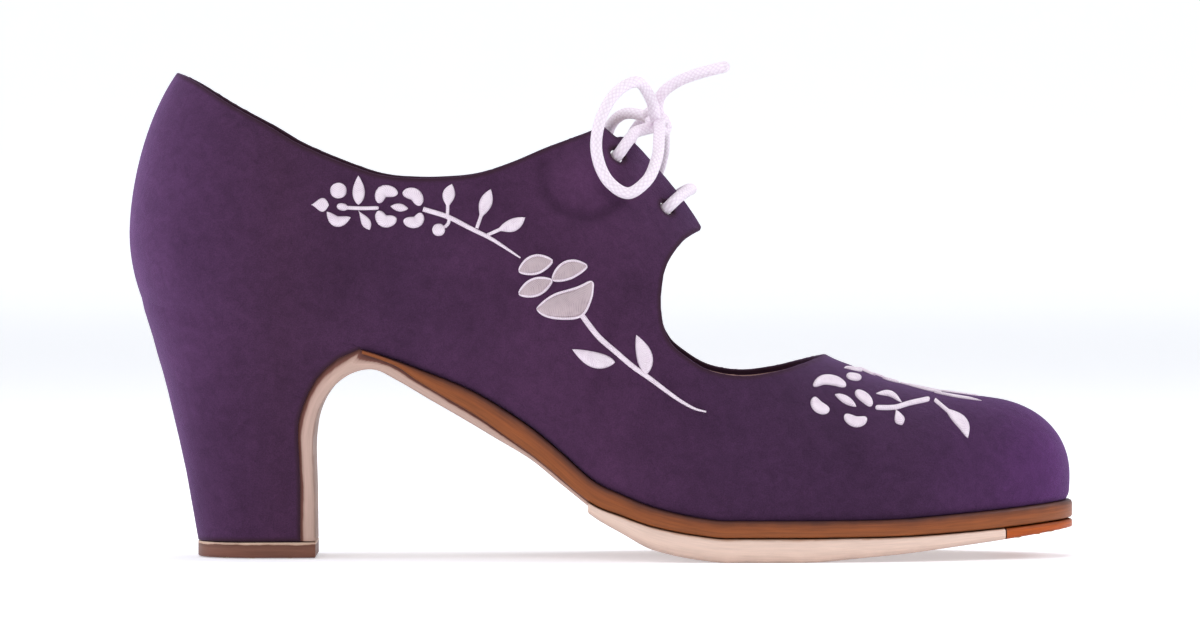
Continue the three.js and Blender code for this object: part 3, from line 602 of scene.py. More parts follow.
def clip(points, triangles, clear, edge_at):
    """Keeps what lies further than edge_at from the openings, cutting triangles there."""
    snap = 0.1
    clear = np.where(np.abs(clear - edge_at) < snap, edge_at, clear)
    keep = clear >= edge_at
    whole = keep[triangles].all(axis=1)
    crossing = keep[triangles].any(axis=1) & ~whole
    new_points, new_clear, cut, made = [], [], [], {}

    def crossing_point(a, b):
        key = (a, b) if a < b else (b, a)
        if key not in made:
            t = (edge_at - clear[a]) / (clear[b] - clear[a])
            made[key] = len(points) + len(new_points)
            new_points.append(points[a] + t * (points[b] - points[a]))
            new_clear.append(edge_at)
        return made[key]

    for triangle in triangles[crossing]:
        ring = []
        for a, b in zip(triangle, np.roll(triangle, -1)):
            if keep[a]:
                ring.append(int(a))
            if keep[a] != keep[b] and clear[a] != edge_at and clear[b] != edge_at:
                ring.append(crossing_point(int(a), int(b)))
        for k in range(1, len(ring) - 1):
            cut.append((ring[0], ring[k], ring[k + 1]))
    points = np.vstack([points] + ([np.array(new_points)] if new_points else []))
    clear = np.concatenate([clear, new_clear])
    triangles = np.vstack([triangles[whole], np.array(cut, int).reshape(-1, 3)])
    used = np.unique(triangles)
    renumber = np.full(len(points), -1)
    renumber[used] = np.arange(len(used))
    return points[used], renumber[triangles], clear[used]


def grid_skin(q, v, edge_at):
    """The last's surface as triangles, with its soft forms, cut back to its openings."""
    columns = [(share, -1) for share in q] + [(share, 1) for share in q[-2:0:-1]]
    sides = {side: last_points(q, side, v) for side in (-1, 1)}
    index = {share: i for i, share in enumerate(q)}
    grid = np.array([sides[side][index[share]] for share, side in columns])
    count, rows_up = grid.shape[:2]
    points = grid.reshape(-1, 3)
    key = np.round(points / 1e-3).astype(np.int64)
    _, first, merged = np.unique(key, axis=0, return_index=True, return_inverse=True)
    merged = merged.ravel()
    points = points[first]
    c, r = np.meshgrid(np.arange(count), np.arange(rows_up - 1), indexing="ij")
    a, b = (c * rows_up + r).ravel(), (((c + 1) % count) * rows_up + r).ravel()
    triangles = np.vstack([np.column_stack([a, b, b + 1]), np.column_stack([a, b + 1, a + 1])])
    triangles = merged[triangles]
    distinct = ((triangles[:, 0] != triangles[:, 1]) & (triangles[:, 1] != triangles[:, 2])
                & (triangles[:, 2] != triangles[:, 0]))
    triangles = triangles[distinct]
    clear = from_openings(points)
    out = vertex_normals(points, triangles)
    at_floor = points[:, 2] - feather_line(points[:, 0]) < 1e-3
    out[at_floor, 2] = 0
    points = points + soft_rise(points)[:, None] * unit(out)
    return clip(points, triangles, clear, edge_at)


def shell(q, v, edge_at, outer_depth, inner_depth, roll):
    """A closed wall between two depths under the last's surface. roll is how far its edge
    rounds out at the openings. Returns points, faces, clearances and the outer triangles."""
    skin, triangles, clear = grid_skin(q, v, edge_at)
    out = vertex_normals(skin, triangles)
    low = skin[:, 2] < feather_line(skin[:, 0]) + 1e-2
    out[low, 2] = 0
    out = unit(out)
    outer, inner = skin - outer_depth * out, skin - inner_depth * out
    points, clears = [outer, inner], [clear, clear]
    faces = [tuple(t) for t in triangles] + [(t[0] + len(skin), t[2] + len(skin),
                                              t[1] + len(skin)) for t in triangles]
    edges = {(t[k], t[(k + 1) % 3]) for t in triangles.tolist() for k in range(3)}
    follow = {}
    for a, b in sorted(edges):
        if (b, a) not in edges:
            follow.setdefault(a, []).append(b)
    count, total = len(skin), 2 * len(skin)
    while follow:
        start = here = next(iter(follow))
        loop = []
        while here in follow and (here != start or not loop):
            loop.append(here)
            ways = follow[here]
            here = ways.pop()
            if not ways:
                del follow[loop[-1]]
        ring = np.array(loop)
        bends = [] if low[ring].all() else np.linspace(0, math.pi, 7)[1:-1]
        run = unit(np.roll(outer[ring], -1, axis=0) - np.roll(outer[ring], 1, axis=0))
        past = np.cross(run, out[ring])
        levels = [ring]
        for bend in bends:
            share = (1 - math.cos(bend)) / 2
            points.append(outer[ring] + (inner[ring] - outer[ring]) * share
                          + past * roll * math.sin(bend))
            clears.append(np.zeros(len(ring)))
            levels.append(total + np.arange(len(ring)))
            total += len(ring)
        levels.append(ring + count)
        for near, far in zip(levels[:-1], levels[1:]):
            for k in range(len(ring)):
                n = (k + 1) % len(ring)
                faces.append((near[n], near[k], far[k], far[n]))
    return np.vstack(points), faces, np.concatenate(clears), outer, triangles


# Suede: split leather with its nap brushed up. It takes light softly, has clouds where the
# nap lies another way, and its fibres catch light at the rim. The fibres are really about
# 0.1 mm apart and are drawn three times as coarse, so that they show.
hide_back, hide_front = -35.0, 210.0


def suede_finish(name, tints_with_painted_rims, rim):
    made, tree, shader = finish(name)
    place = add(tree, "TexCoord", {}).outputs["Object"]
    reach = add(tree, "SeparateXYZ", {}, {0: place}).outputs["X"]
    share = add(tree, "MapRange", {"From Min": hide_back * MM, "From Max": hide_front * MM},
                {"Value": reach})
    # Painted rim highlights: the colour ramp along the length is lighter at the heel's back and
    # at the toe.
    base = add(tree, "ValToRGB", {"stops": tints_with_painted_rims}, {"Fac": share.outputs["Result"]})
    clouds = add(tree, "TexNoise", {"Scale": every(26.3), "Detail": 4.0, "Roughness": 0.6},
                 {"Vector": place})
    cloudy = add(tree, "MapRange", {"From Min": 0.3, "From Max": 0.75, "To Min": 0.86,
                                    "To Max": 1.16}, {"Value": clouds.outputs["Fac"]})
    strokes = add(tree, "TexNoise", {"Scale": every(3.03), "Detail": 5.0, "Roughness": 0.7,
                                     "Distortion": 0.6}, {"Vector": place})
    fibres = add(tree, "TexNoise", {"Scale": every(0.3125), "Detail": 3.0,
                                    "Roughness": 0.75}, {"Vector": place})
    shade = add(tree, "MapRange", {"From Min": 0.25, "From Max": 0.75, "To Min": 0.8,
                                   "To Max": 1.2}, {"Value": strokes.outputs["Fac"]})
    speck = add(tree, "MapRange", {"From Min": 0.25, "From Max": 0.75, "To Min": 0.72,
                                   "To Max": 1.28}, {"Value": fibres.outputs["Fac"]})
    tone = add(tree, "Math", {"operation": "MULTIPLY"},
               {0: shade.outputs["Result"], 1: speck.outputs["Result"]})
    patchy = add(tree, "Math", {"operation": "MULTIPLY"},
                 {0: tone.outputs["Value"], 1: cloudy.outputs["Result"]})
    # Painted shade and highlight: the suede is darker in the hollows of its soft folds and
    # lighter on their rises.
    fold = add(tree, "Attribute", {"attribute_name": "fold"})
    hollow = add(tree, "MapRange", {"From Min": -0.8, "From Max": 0.8, "To Min": 0.7,
                                    "To Max": 1.3}, {"Value": fold.outputs["Fac"]})
    patchy = add(tree, "Math", {"operation": "MULTIPLY"},
                 {0: patchy.outputs["Value"], 1: hollow.outputs["Result"]})
    napped = add(tree, "VectorMath", {"operation": "SCALE"},
                 {0: base.outputs["Color"], "Scale": patchy.outputs["Value"]})
    edge = add(tree, "Attribute", {"attribute_name": "from_edge"})
    dyed = add(tree, "MapRange", {"From Min": 0.5, "From Max": 1.5, "To Min": 1.0,
                                  "To Max": 0.0}, {"Value": edge.outputs["Fac"]})
    colour = add(tree, "Mix", {"data_type": "RGBA", 7: linear(rim)},
                 {0: dyed.outputs["Result"], 6: napped.outputs["Vector"]})
    height = add(tree, "Math", {"operation": "MULTIPLY_ADD", 1: 0.6},
                 {0: fibres.outputs["Fac"], 2: strokes.outputs["Fac"]})
    bump = add(tree, "Bump", {"Strength": 0.55, "Distance": 0.35 * MM},
               {"Height": height.outputs["Value"]})
    settle(tree, shader, {
        "Roughness": 0.95, "Specular IOR Level": 0.15, "Sheen Weight": 0.45,
        "Sheen Roughness": 0.38, "Sheen Tint": linear("#b48fd0"),
    }, {"Base Color": colour.outputs[2], "Normal": bump.outputs["Normal"]})
    return made


# The suede's colour from the back of the heel to the toe, lighter at the heel's back and at
# the toe as painted rim highlights, and the dye of its turned-in edges.
purple_suede = suede_finish("purple_suede", [
    (0.01, "#58395f"), (0.08, "#4c2f50"), (0.17, "#452a44"), (0.3, "#452a46"),
    (0.42, "#482b48"), (0.51, "#482b48"), (0.63, "#402742"), (0.82, "#402743"),
    (0.9, "#482a4e"), (0.97, "#532d5e")], "#38222f")


def keep_values(mesh, name, values):
    """Keeps a value for each point of a mesh, which its material reads by name."""
    attribute = mesh.attributes.new(name, "FLOAT", "POINT")
    attribute.data.foreach_set("value", values.astype(np.float32))


def steps_between(knots, sizes):
    """Shares from the first knot to the last, with steps of about each size between two."""
    shares = []
    for a, b, size in zip(knots[:-1], knots[1:], sizes):
        shares += list(np.linspace(a, b, max(2, round((b - a) / size)), endpoint=False))
    return np.array(shares + [knots[-1]])


tab_margin = 8.0
tab_knots = [float(q_at(tab_back - tab_margin)), float(q_at(tab_front + tab_margin))]
q_fine = steps_between([0] + tab_knots + [1], [0.0044, 0.0026, 0.0044])
v_fine = steps_between([0, 0.45, 0.75, 1], [0.0145, 0.0085, 0.0145])
suede_depth = 1.15
suede_edge, suede_roll = 0.5, 0.5
points, faces, clears, outer_skin, outer_triangles = shell(
    q_fine, v_fine, suede_edge, 0, suede_depth, suede_roll)
upper = piece("upper_suede", points, faces, purple_suede, clean="kept")
keep_values(upper.data, "from_edge", clears)
# How far the soft folds rise, which the material turns into painted shade in the hollows and
# painted highlight on the rises.
keep_values(upper.data, "fold", fold_rise(points))
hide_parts("upper")
suede_tree = BVHTree.FromPolygons(outer_skin.tolist(), outer_triangles.tolist())


# Lining
# Thin glazed leather with a low shine, glued to the suede's back and trimmed just inside
# its turned-in edge. It shows inside the collar and the throat. Its pores are really about
# 0.3 mm apart and are drawn at 0.9 mm, so that they show.
lining_leather, tree, shader = finish("lining_leather")
place = add(tree, "TexCoord", {}).outputs["Object"]
cloud = add(tree, "TexNoise", {"Scale": every(22.2), "Detail": 4.0}, {"Vector": place})
tone = add(tree, "ValToRGB", {"stops": [(0.3, "#8f6a63"), (0.7, "#b08b80")]},
           {"Fac": cloud.outputs["Fac"]})
pores = add(tree, "TexVoronoi", {"Scale": every(0.909)}, {"Vector": place})
bump = add(tree, "Bump", {"Strength": 0.3, "Distance": 0.12 * MM},
           {"Height": pores.outputs["Distance"]})
settle(tree, shader, {"Roughness": 0.6},
       {"Base Color": tone.outputs["Color"], "Normal": bump.outputs["Normal"]})

lining_trim, lining_roll, glue = 1.3, 0.2, 0.02
q_coarse = steps_between([0] + tab_knots + [1], [0.009, 0.005, 0.009])
v_coarse = steps_between([0, 0.45, 0.75, 1], [0.028, 0.016, 0.028])
points, faces, _, _, _ = shell(
    q_coarse, v_coarse, lining_trim, suede_depth + glue, wall, lining_roll)
lining = piece("lining", points, faces, lining_leather, clean="kept")


# Embroidery
# Satin stitch in white rayon, worked on the flat quarters and vamp before they are lasted:
# a spray of rosettes, leaves and a tulip on each side, and a posy over the toe. The thread
# shines softly. It is really about 0.25 mm wide and is drawn at 0.45 mm, so that it shows.
thread_width = 0.449
wave_turns = 20 / (2 * math.pi)  # bands of the wave pattern in one unit, at a scale of one


def rayon_finish(name, colour, shadow):
    made, tree, shader = finish(name)
    uv = add(tree, "UVMap", {}).outputs["UV"]
    threads = add(tree, "TexWave", {
        "wave_type": "BANDS", "bands_direction": "Y", "Scale": 1 / (thread_width * wave_turns),
        "Distortion": 0.5, "Detail": 1.0}, {"Vector": uv})
    place = add(tree, "TexCoord", {}).outputs["Object"]
    uneven = add(tree, "TexNoise", {"Scale": every(2.0), "Detail": 2.0}, {"Vector": place})
    mixed = add(tree, "Math", {"operation": "MULTIPLY_ADD", 1: 0.65},
                {0: threads.outputs["Fac"], 2: uneven.outputs["Fac"]})
    tone = add(tree, "ValToRGB", {"stops": [(0.35, shadow), (0.8, colour)]},
               {"Fac": mixed.outputs["Value"]})
    bump = add(tree, "Bump", {"Strength": 0.6, "Distance": 0.2 * MM},
               {"Height": threads.outputs["Fac"]})
    settle(tree, shader, {"Roughness": 0.42, "Sheen Weight": 0.15},
           {"Base Color": tone.outputs["Color"], "Normal": bump.outputs["Normal"]})
    return made


white_rayon = rayon_finish("white_rayon_thread", "#f8eaf4", "#d9c2d5")
grey_rayon = rayon_finish("mauve_grey_rayon_thread", "#cab6bb", "#a58f99")

# How wide a motif is along its spine: shares of its half-width over shares t of its length.
motif_widths = {
    "petal": lambda t: np.clip(1 - np.abs(2 * t - 1) ** 2.4, 0, 1) ** 0.5,
    "almond": lambda t: np.sin(math.pi * t) ** 0.75,
    "leaf": lambda t: np.sin(math.pi * t**0.8) ** 0.85,
    "drop": lambda t: np.sin(math.pi * t**1.55) ** 0.8,
    "bay": lambda t: np.maximum(
        0.28 * (t < 0.6), np.sin(math.pi * np.clip((t - 0.26) / 0.74, 0, 1) ** 1.1) ** 0.85),
    "stem": lambda t: np.clip(1 - np.abs(2 * t - 1) ** 24, 0, 1) ** 0.5,
    "taper": lambda t: 1 - 0.7 * t**3,
}
motif_lift = {"petal": 0.65, "almond": 0.6, "leaf": 0.6, "drop": 0.6, "bay": 0.6,
              "stem": 0.5, "taper": 0.5}
thinnest = 0.07


def curve_through(points, count):
    """count points along a centripetal Catmull-Rom curve, evenly spaced by length."""
    knots = np.asarray(points, float)
    padded = np.vstack([2 * knots[0] - knots[1], knots, 2 * knots[-1] - knots[-2]])
    line = []
    for i in range(len(knots) - 1):
        a, b, c, d = padded[i:i + 4]
        before, within, after = (math.sqrt(np.linalg.norm(v)) for v in (b - a, c - b, d - c))
        lean_b = ((b - a) / before - (c - a) / (before + within) + (c - b) / within) * within
        lean_c = ((c - b) / within - (d - b) / (within + after) + (d - c) / after) * within
        t = np.linspace(0, 1, 40, endpoint=i == len(knots) - 2)[:, None]
        line.append(bent(b, c, lean_b, lean_c, t))
    line = np.vstack(line)
    run = travelled(line)
    even = np.linspace(0, run[-1], count)
    return np.column_stack([np.interp(even, run, column) for column in line.T])


def rails(kind, spine, half):
    """A motif's two edges in its chart, from its spine and its greatest half-width."""
    even = np.linspace(0, 1, max(13, round(travelled(spine)[-1] / 0.3)))
    rounded = (1 - np.cos(math.pi * even)) / 2
    evenly = curve_through(spine, 6 * len(even))
    stations = np.linspace(0, 1, len(evenly))
    line, run = (
        np.column_stack([np.interp(rounded, stations, column) for column in rows.T])
        for rows in (evenly, np.gradient(evenly, axis=0)))
    run = unit(run)
    across = np.column_stack([-run[:, 1], run[:, 0]])
    width = np.maximum(thinnest, motif_widths[kind](rounded) * half)[:, None]
    return line + across * width, line - across * width


# Each chart is laid on the suede along its own ray: a start, and a way.
rays = {
    "outer": ((0, -150, 1), (0, 1, 0)),
    "inner": ((0, 150, 1), (0, -1, 0)),
    "top": ((0, 1, 150), (0, 0, -1)),
}


def on_suede(chart, place):
    """A chart's point on the suede: the two sides' charts are (x, z), and the top's (x, y).
    x is measured from the back of the counter."""
    start, way = rays[chart]
    x = place[0] - origin_along
    origin = (x, place[1], start[2]) if chart == "top" else (x, start[1], place[1])
    found, normal, _, _ = suede_tree.ray_cast(Vector(origin), Vector(way))
    if found is None:
        found, normal, _, _ = suede_tree.find_nearest(Vector(origin))
    return np.array(found), np.array(normal)


# A pad stands highest in its middle. Its edges are pulled into the suede, and its stitches
# slant from its middle line.
stitch_columns = 9
least_rise, rise_share = 0.15, 0.4
stitch_sink, pad_depth, stitch_slant = 0.04, 0.25, 0.55


def stitched(chart, left, right, lift):
    """A closed pad of satin stitch between two edges, with its own points, faces, UVs."""
    points, uv = [], []
    for a, b, run in zip(left, right, travelled((left + right) / 2)):
        width = np.linalg.norm(a - b)
        upper_row, lower_row = [], []
        for u in np.linspace(-1, 1, stitch_columns):
            base, out = on_suede(chart, a + (b - a) * (u + 1) / 2)
            rise = min(lift, least_rise + rise_share * width) * math.sqrt(1 - u * u)
            upper_row.append((base + out * (rise - stitch_sink), u))
            if abs(u) < 1:
                lower_row.append((base - out * pad_depth, u))
        for point, u in upper_row + lower_row[::-1]:
            points.append(point)
            uv.append((u * width / 2, run + stitch_slant * abs(u) * width / 2))
    return points, tube_faces(len(left), 2 * stitch_columns - 2), uv


def rosette(centre, reach, half, turn):
    """Four round petals about a ring, and an almond in it."""
    rows = []
    for k in range(4):
        spine = []
        for share in (-1, -0.5, 0, 0.5, 1):
            angle = math.radians(turn + 90 * k + 33 * share)
            spine.append((centre[0] + reach * math.cos(angle),
                          centre[1] + reach * math.sin(angle)))
        rows.append(("petal", spine, half))
    bud = [(centre[0] - 0.36 * reach, centre[1]), (centre[0] + 0.36 * reach, centre[1])]
    rows.append(("almond", bud, 0.26 * reach))
    return rows


# The charts, in millimetres: each motif's kind, its spine and its half-width.
quarter_spray = [
    ("drop", [(47.2, 89.9), (49.3, 89.9), (51.6, 89.8)], 1.8),
    ("petal", [(54.05, 91.5), (54, 93.4), (53.95, 95.4)], 2.1),
    ("almond", [(51.1, 88.1), (53.6, 85.7), (57.1, 86.7)], 1.4),
    ("petal", [(53.6, 89.6), (56.4, 89.1)], 0.95),
    ("stem", [(55.4, 89.2), (60, 89), (64.2, 89.1)], 0.5),
    ("leaf", [(59.05, 89.9), (59.1, 93.8), (59, 97.2)], 1.6),
    ("drop", [(59.1, 88.4), (60.9, 85.6), (61.9, 83.6)], 1.2),
    ("petal", [(64.1, 90.3), (65.2, 93.2), (69, 92.8)], 1.55),
    ("petal", [(70.2, 92.9), (73.3, 92.4), (74.7, 89.7)], 1.6),
    ("petal", [(75, 87.8), (73.7, 85.6), (70.4, 85.8)], 1.5),
    ("petal", [(63.9, 88.3), (65.5, 85.8), (68.7, 86.3)], 1.6),
    ("almond", [(67.2, 89.5), (71.6, 88.9)], 1.05),
    ("taper", [(75.4, 88.8), (81.5, 86.9), (87.1, 84.1), (92.65, 81.3), (99.9, 76.6)], 0.64),
    ("bay", [(81.5, 87.2), (81.8, 92.2), (82.6, 95.1)], 1.6),
    ("stem", [(82, 86.6), (81.7, 85.2), (80.8, 84.2)], 0.45),
    ("petal", [(77.7, 83.6), (80.9, 83.6)], 1.6),
    ("bay", [(88.9, 84), (90.3, 88), (91.3, 90.8), (92.4, 93.8)], 1.65),
    ("bay", [(91.6, 82.3), (95.5, 84), (98.2, 84.9), (101.1, 86.7)], 1.65),
    ("taper", [(115.3, 62.3), (119.5, 56.9), (124, 52.9), (128.4, 49.2), (132.1, 46.6),
               (136.5, 43.3), (140.2, 40.7), (143.9, 38.7), (146.6, 38)], 0.72),
    ("leaf", [(123.7, 50.4), (118.6, 51), (113, 53.6)], 2.05),
    ("leaf", [(131.5, 47.3), (131.2, 51.6), (129.1, 57.2)], 2.05),
]
tulip_petals = [
    ("almond", [(99.6, 73.2), (103.7, 74.9), (107.9, 75.8)], 2.2),
    ("almond", [(99.6, 67.5), (103.6, 69.2), (107.8, 70.9)], 2.05),
    ("almond", [(108, 71.1), (112.4, 73.7), (116.6, 74.5)], 2.1),
]
tulip_cup = ([(104, 63.8), (106.3, 65.9), (108.8, 67.4), (114.3, 69.1), (117.9, 70.8)],
             [(104, 63.6), (106, 62.2), (110, 61.4), (115.4, 62.2), (117.9, 67.4), (118, 70.4)])
toe_spray = [
    ("petal", [(173.8, 44.1), (176.3, 45.5), (179.5, 45.2), (182.2, 43.9)], 1.3),
    ("petal", [(173.6, 41.2), (174.9, 39.1), (177.7, 37.8)], 1.5),
    ("petal", [(184.5, 42.5), (187.2, 40.8), (188.6, 39)], 1.3),
    ("petal", [(181.5, 36.7), (184.5, 35.2), (187.3, 35.8)], 1.4),
    ("almond", [(179.3, 41.9), (182, 40.6), (184.6, 38.9)], 1.0),
    ("petal", [(182.4, 46.4), (186.3, 45.7)], 0.9),
    ("stem", [(189.5, 38.6), (194.5, 38.6), (198.1, 39.5), (203.6, 40.5)], 0.6),
    ("almond", [(189.9, 42), (193.6, 41.8), (196.3, 39.8)], 0.7),
    ("drop", [(194.7, 38.1), (195.4, 36.2), (196.2, 34.3)], 1.35),
    ("bay", [(204.9, 40.2), (208.1, 37.5), (211.7, 34.5), (212.9, 30.9)], 1.6),
]
toe_posy = [
    *rosette((191, 3), 4.6, 1.7, turn=45),
    ("stem", [(196.5, 3), (203, 3.2), (208, 3.2)], 0.55),
    ("leaf", [(198.5, 4.5), (203, 8.5), (207.5, 11.5)], 1.7),
    ("leaf", [(198.5, 1.5), (203, -2.5), (207.5, -5.5)], 1.7),
    ("leaf", [(207, 3.2), (212, 3.2), (217, 3.2)], 2.0),
    ("leaf", [(205, -6), (211, -6.5), (217, -6)], 0.9),
    ("leaf", [(186.5, 8), (183.5, 11), (180, 14)], 1.5),
    ("leaf", [(186.5, -2), (184.5, -5), (182, -8)], 1.5),
]


def sew(name, parts, material):
    """One piece of all the pads given as (points, faces, uv)."""
    points, faces, uv = [], [], []
    for part_points, part_faces, part_uv in parts:
        faces += [tuple(len(points) + i for i in face) for face in part_faces]
        points += part_points
        uv += part_uv
    made = piece(name, points, faces, material, uv=uv, clean="turned")


tulip_lift, rim_half, rim_lift = 0.5, 0.34, 0.6
for chart in ("outer", "inner"):
    white_parts, grey_parts = [], []
    for kind, spine, half in quarter_spray + toe_spray:
        white_parts.append(stitched(chart, *rails(kind, spine, half), motif_lift[kind]))
    for kind, spine, half in tulip_petals:
        left, right = rails(kind, spine, half)
        grey_parts.append(stitched(chart, left, right, tulip_lift))
        rim = np.vstack([left, right[::-1], left[:1]])
        white_parts.append(stitched(chart, *rails("stem", rim, rim_half), rim_lift))
    left, right = (curve_through(rail, 42) for rail in tulip_cup)
    grey_parts.append(stitched(chart, left, right, tulip_lift))
    rim = np.vstack([left, right[::-1], left[:1]])
    white_parts.append(stitched(chart, *rails("stem", rim[::3], rim_half), rim_lift))
    sew(f"embroidery_{chart}", white_parts, white_rayon)
    sew(f"embroidery_tulip_{chart}", grey_parts, grey_rayon)
sew("embroidery_toe", [
    stitched("top", *rails(kind, spine, half), motif_lift[kind])
    for kind, spine, half in toe_posy
], white_rayon)


# Outsole
# A midsole and through sole of tan bridle leather, cemented to the lasted upper. Its edge
# is trimmed, stained and burnished with wax, and the layers show as fine lines.
sole_edge = 1.0
seat_front = float(along(0.248))
half_sole_back = float(along(0.488))
half_sole_front = float(along(0.925))


def edge_leather(name, stops, streak, gloss):
    """Sole leather seen on its cut edge. The UV is (millimetres along, share of height). Its
    fibres lie along the edge in streaks of about 11 mm by a ninth of the height."""
    made, tree, shader = finish(name)
    uv = add(tree, "UVMap", {}).outputs["UV"]
    height = add(tree, "SeparateXYZ", {}, {0: uv}).outputs["Y"]
    stretched = add(tree, "Mapping", {"Scale": (0.09, 9.0, 1.0)}, {"Vector": uv})
    fibres = add(tree, "TexNoise", {"Scale": 1.0, "Detail": 5.0, "Roughness": 0.65},
                 {"Vector": stretched.outputs["Vector"]})
    blotches = add(tree, "TexNoise", {"Scale": 1 / 6.25, "Detail": 3.0}, {"Vector": uv})
    wander = add(tree, "MapRange", {"From Min": 0.2, "From Max": 0.8, "To Min": -0.08,
                                    "To Max": 0.08}, {"Value": blotches.outputs["Fac"]})
    level = add(tree, "Math", {"operation": "ADD"}, {0: height, 1: wander.outputs["Result"]})
    base = add(tree, "ValToRGB", {"stops": stops}, {"Fac": level.outputs["Value"]})
    tone = add(tree, "MapRange", {"From Min": 0.3, "From Max": 0.7, "To Min": 1 - streak,
                                  "To Max": 1 + streak}, {"Value": fibres.outputs["Fac"]})
    colour = add(tree, "VectorMath", {"operation": "SCALE"},
                 {0: base.outputs["Color"], "Scale": tone.outputs["Result"]})
    bump = add(tree, "Bump", {"Strength": 0.35, "Distance": 0.2 * MM},
               {"Height": fibres.outputs["Fac"]})
    settle(tree, shader, {"Roughness": gloss, "Specular IOR Level": 0.3},
           {"Base Color": colour.outputs["Vector"], "Normal": bump.outputs["Normal"]})
    return made


tan_leather = edge_leather("burnished_tan_sole_leather", [
    (0.0, "#6f3c1e"), (0.08, "#87491f"), (0.45, "#8d4c24"), (0.7, "#7e4426"),
    (0.86, "#613423"), (1.0, "#472724")], 0.24, 0.48)
trimmed_edge = [(1.1, 0), (0.25, 0.05), (0, 0.16), (0, 0.5), (0, 0.8), (0.2, 0.94), (0.7, 1)]
points, faces, uv = layer(
    seat_front + gap, toe_end, 150, sole_edge, outsole_top, outsole_bottom, trimmed_edge)
outsole = piece("outsole_leather", points, faces, tan_leather, sharp=50, uv=uv)
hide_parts("outsole")


# Half sole
# Natural veg-tanned leather under the forefoot, left its own cream colour. Its edge is
# sanded, and its colour turns greyer and darker towards its lower corner.
cream_leather = edge_leather("natural_sole_leather", [
    (0.0, "#b49c90"), (0.12, "#d2b5a5"), (0.4, "#e6cab9"), (0.9, "#e8ccbc"),
    (1.0, "#cfa890")], 0.09, 0.6)
points, faces, uv = layer(
    half_sole_back, half_sole_front, 110, sole_edge, half_sole_top, half_sole_bottom,
    trimmed_edge)
half_sole = piece("half_sole_leather", points, faces, cream_leather, sharp=50, uv=uv)
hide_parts("half_sole")


# Toe piece
# A harder tan leather tip that takes the toe's strikes, let in at the end of the half sole
# and held with small nails.
toe_leather = edge_leather("orange_tan_tip_leather", [
    (0.0, "#86400e"), (0.15, "#a84a0a"), (0.6, "#b2520f"), (1.0, "#8a3f10")], 0.34, 0.5)
points, faces, uv = layer(
    half_sole_front + gap, toe_end, 50, sole_edge, half_sole_top, half_sole_bottom,
    trimmed_edge)
toe_piece = piece("toe_tip_leather", points, faces, toe_leather, sharp=50, uv=uv)
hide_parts("toe_piece")


# Heel
# A wooden heel with a hollow back line, covered in the upper's suede before it is fixed
# with nails and glue from inside the seat.
breast_leather = 3.6
top_lift_width = 33.0
top_lift_thickness = 4.4
breast_flare = 16.0
heel_rows = {
    "up": [0, 0.14, 0.28, 0.41, 0.53, 0.62, 0.7, 0.77, 0.84, 0.9, 0.95, 1],
    "back": [1, 0.895, 0.79, 0.67, 0.55, 0.46, 0.37, 0.28, 0.2, 0.12, 0.05, 0],
    "front": [0, 0, 0, -0.01, -0.03, -0.02, 0.05, 0.14, 0.26, 0.42, 0.62, 1],
    "narrow": [1, 0.96, 0.89, 0.8, 0.69, 0.59, 0.48, 0.37, 0.26, 0.16, 0.07, 0],
}
heel_base_back = heel_set - origin_along
heel_base_front = heel_base_back + top_lift_length - breast_leather - gap
narrowing = 1 - top_lift_width / seat_width
seam_from = 0.9  # the cover meets the upper above this share of the heel's height


def heel_column(name, up):
    return float(np.interp(up, heel_rows["up"], heel_rows[name]))


def heel_ring(up, places, side):
    """The heel's outline at one level, from its back to its breast."""
    x, closing = places
    back = heel_end + (heel_base_back - heel_end) * heel_column("back", up)
    front = heel_base_front + breast_flare * heel_column("front", up)
    share = (x - heel_end) / (seat_front - heel_end)
    reach = half_width(x) * closing * (1 - narrowing * heel_column("narrow", up))
    low = top_lift_thickness
    seam = gap * float(np.clip((up - seam_from) / (1 - seam_from), 0, 1))
    return np.column_stack([
        back + share * (front - back),
        middle(x) * up + side * reach,
        low + up * (feather_line(x) - gap - low) + seam,
    ])


def strips_across(start, count, turn):
    """Quads from side to side over a ring of count points. turn is 1, or -1 to face back."""
    return [(start + k, start + k + 1, start + count - 2 - k, start + count - 1 - k)[::turn]
            for k in range((count - 1) // 2)]


heel_steps = 44
heel_levels = np.unique(np.concatenate([np.linspace(0, 1, 61), heel_rows["up"]]))
seat_q = float(q_at(seat_front))
heel_places = place_at(np.linspace(0, seat_q, heel_steps + 1))
rings = []
for up in heel_levels:
    outer, inner = (heel_ring(up, heel_places, side) for side in (-1, 1))
    rings.append(np.vstack([outer[::-1], inner[1:]]))
count = 2 * heel_steps + 1
faces = tube_faces(len(rings), count, capped=False)
faces += strips_across(0, count, 1) + strips_across((len(rings) - 1) * count, count, -1)
heel = piece("heel_cover_suede", np.vstack(rings), faces, purple_suede, sharp=50)
breast_ends = place_at(np.array([seat_q]))
breast_line = np.array([heel_ring(up, breast_ends, 1)[0][[0, 2]] for up in heel_levels])
# Its edges are dyed along the breast and the rim, a little narrower than the upper's.
edge_inset = 0.25
cover = np.empty(3 * len(heel.data.vertices), np.float32)
heel.data.vertices.foreach_get("co", cover)
cover = cover.reshape(-1, 3) / MM
from_breast = from_line(cover[:, [0, 2]], breast_line)
from_rim = np.minimum(from_breast, cover[:, 2] - top_lift_thickness)
keep_values(heel.data, "from_edge", from_rim + edge_inset)
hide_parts("heel")


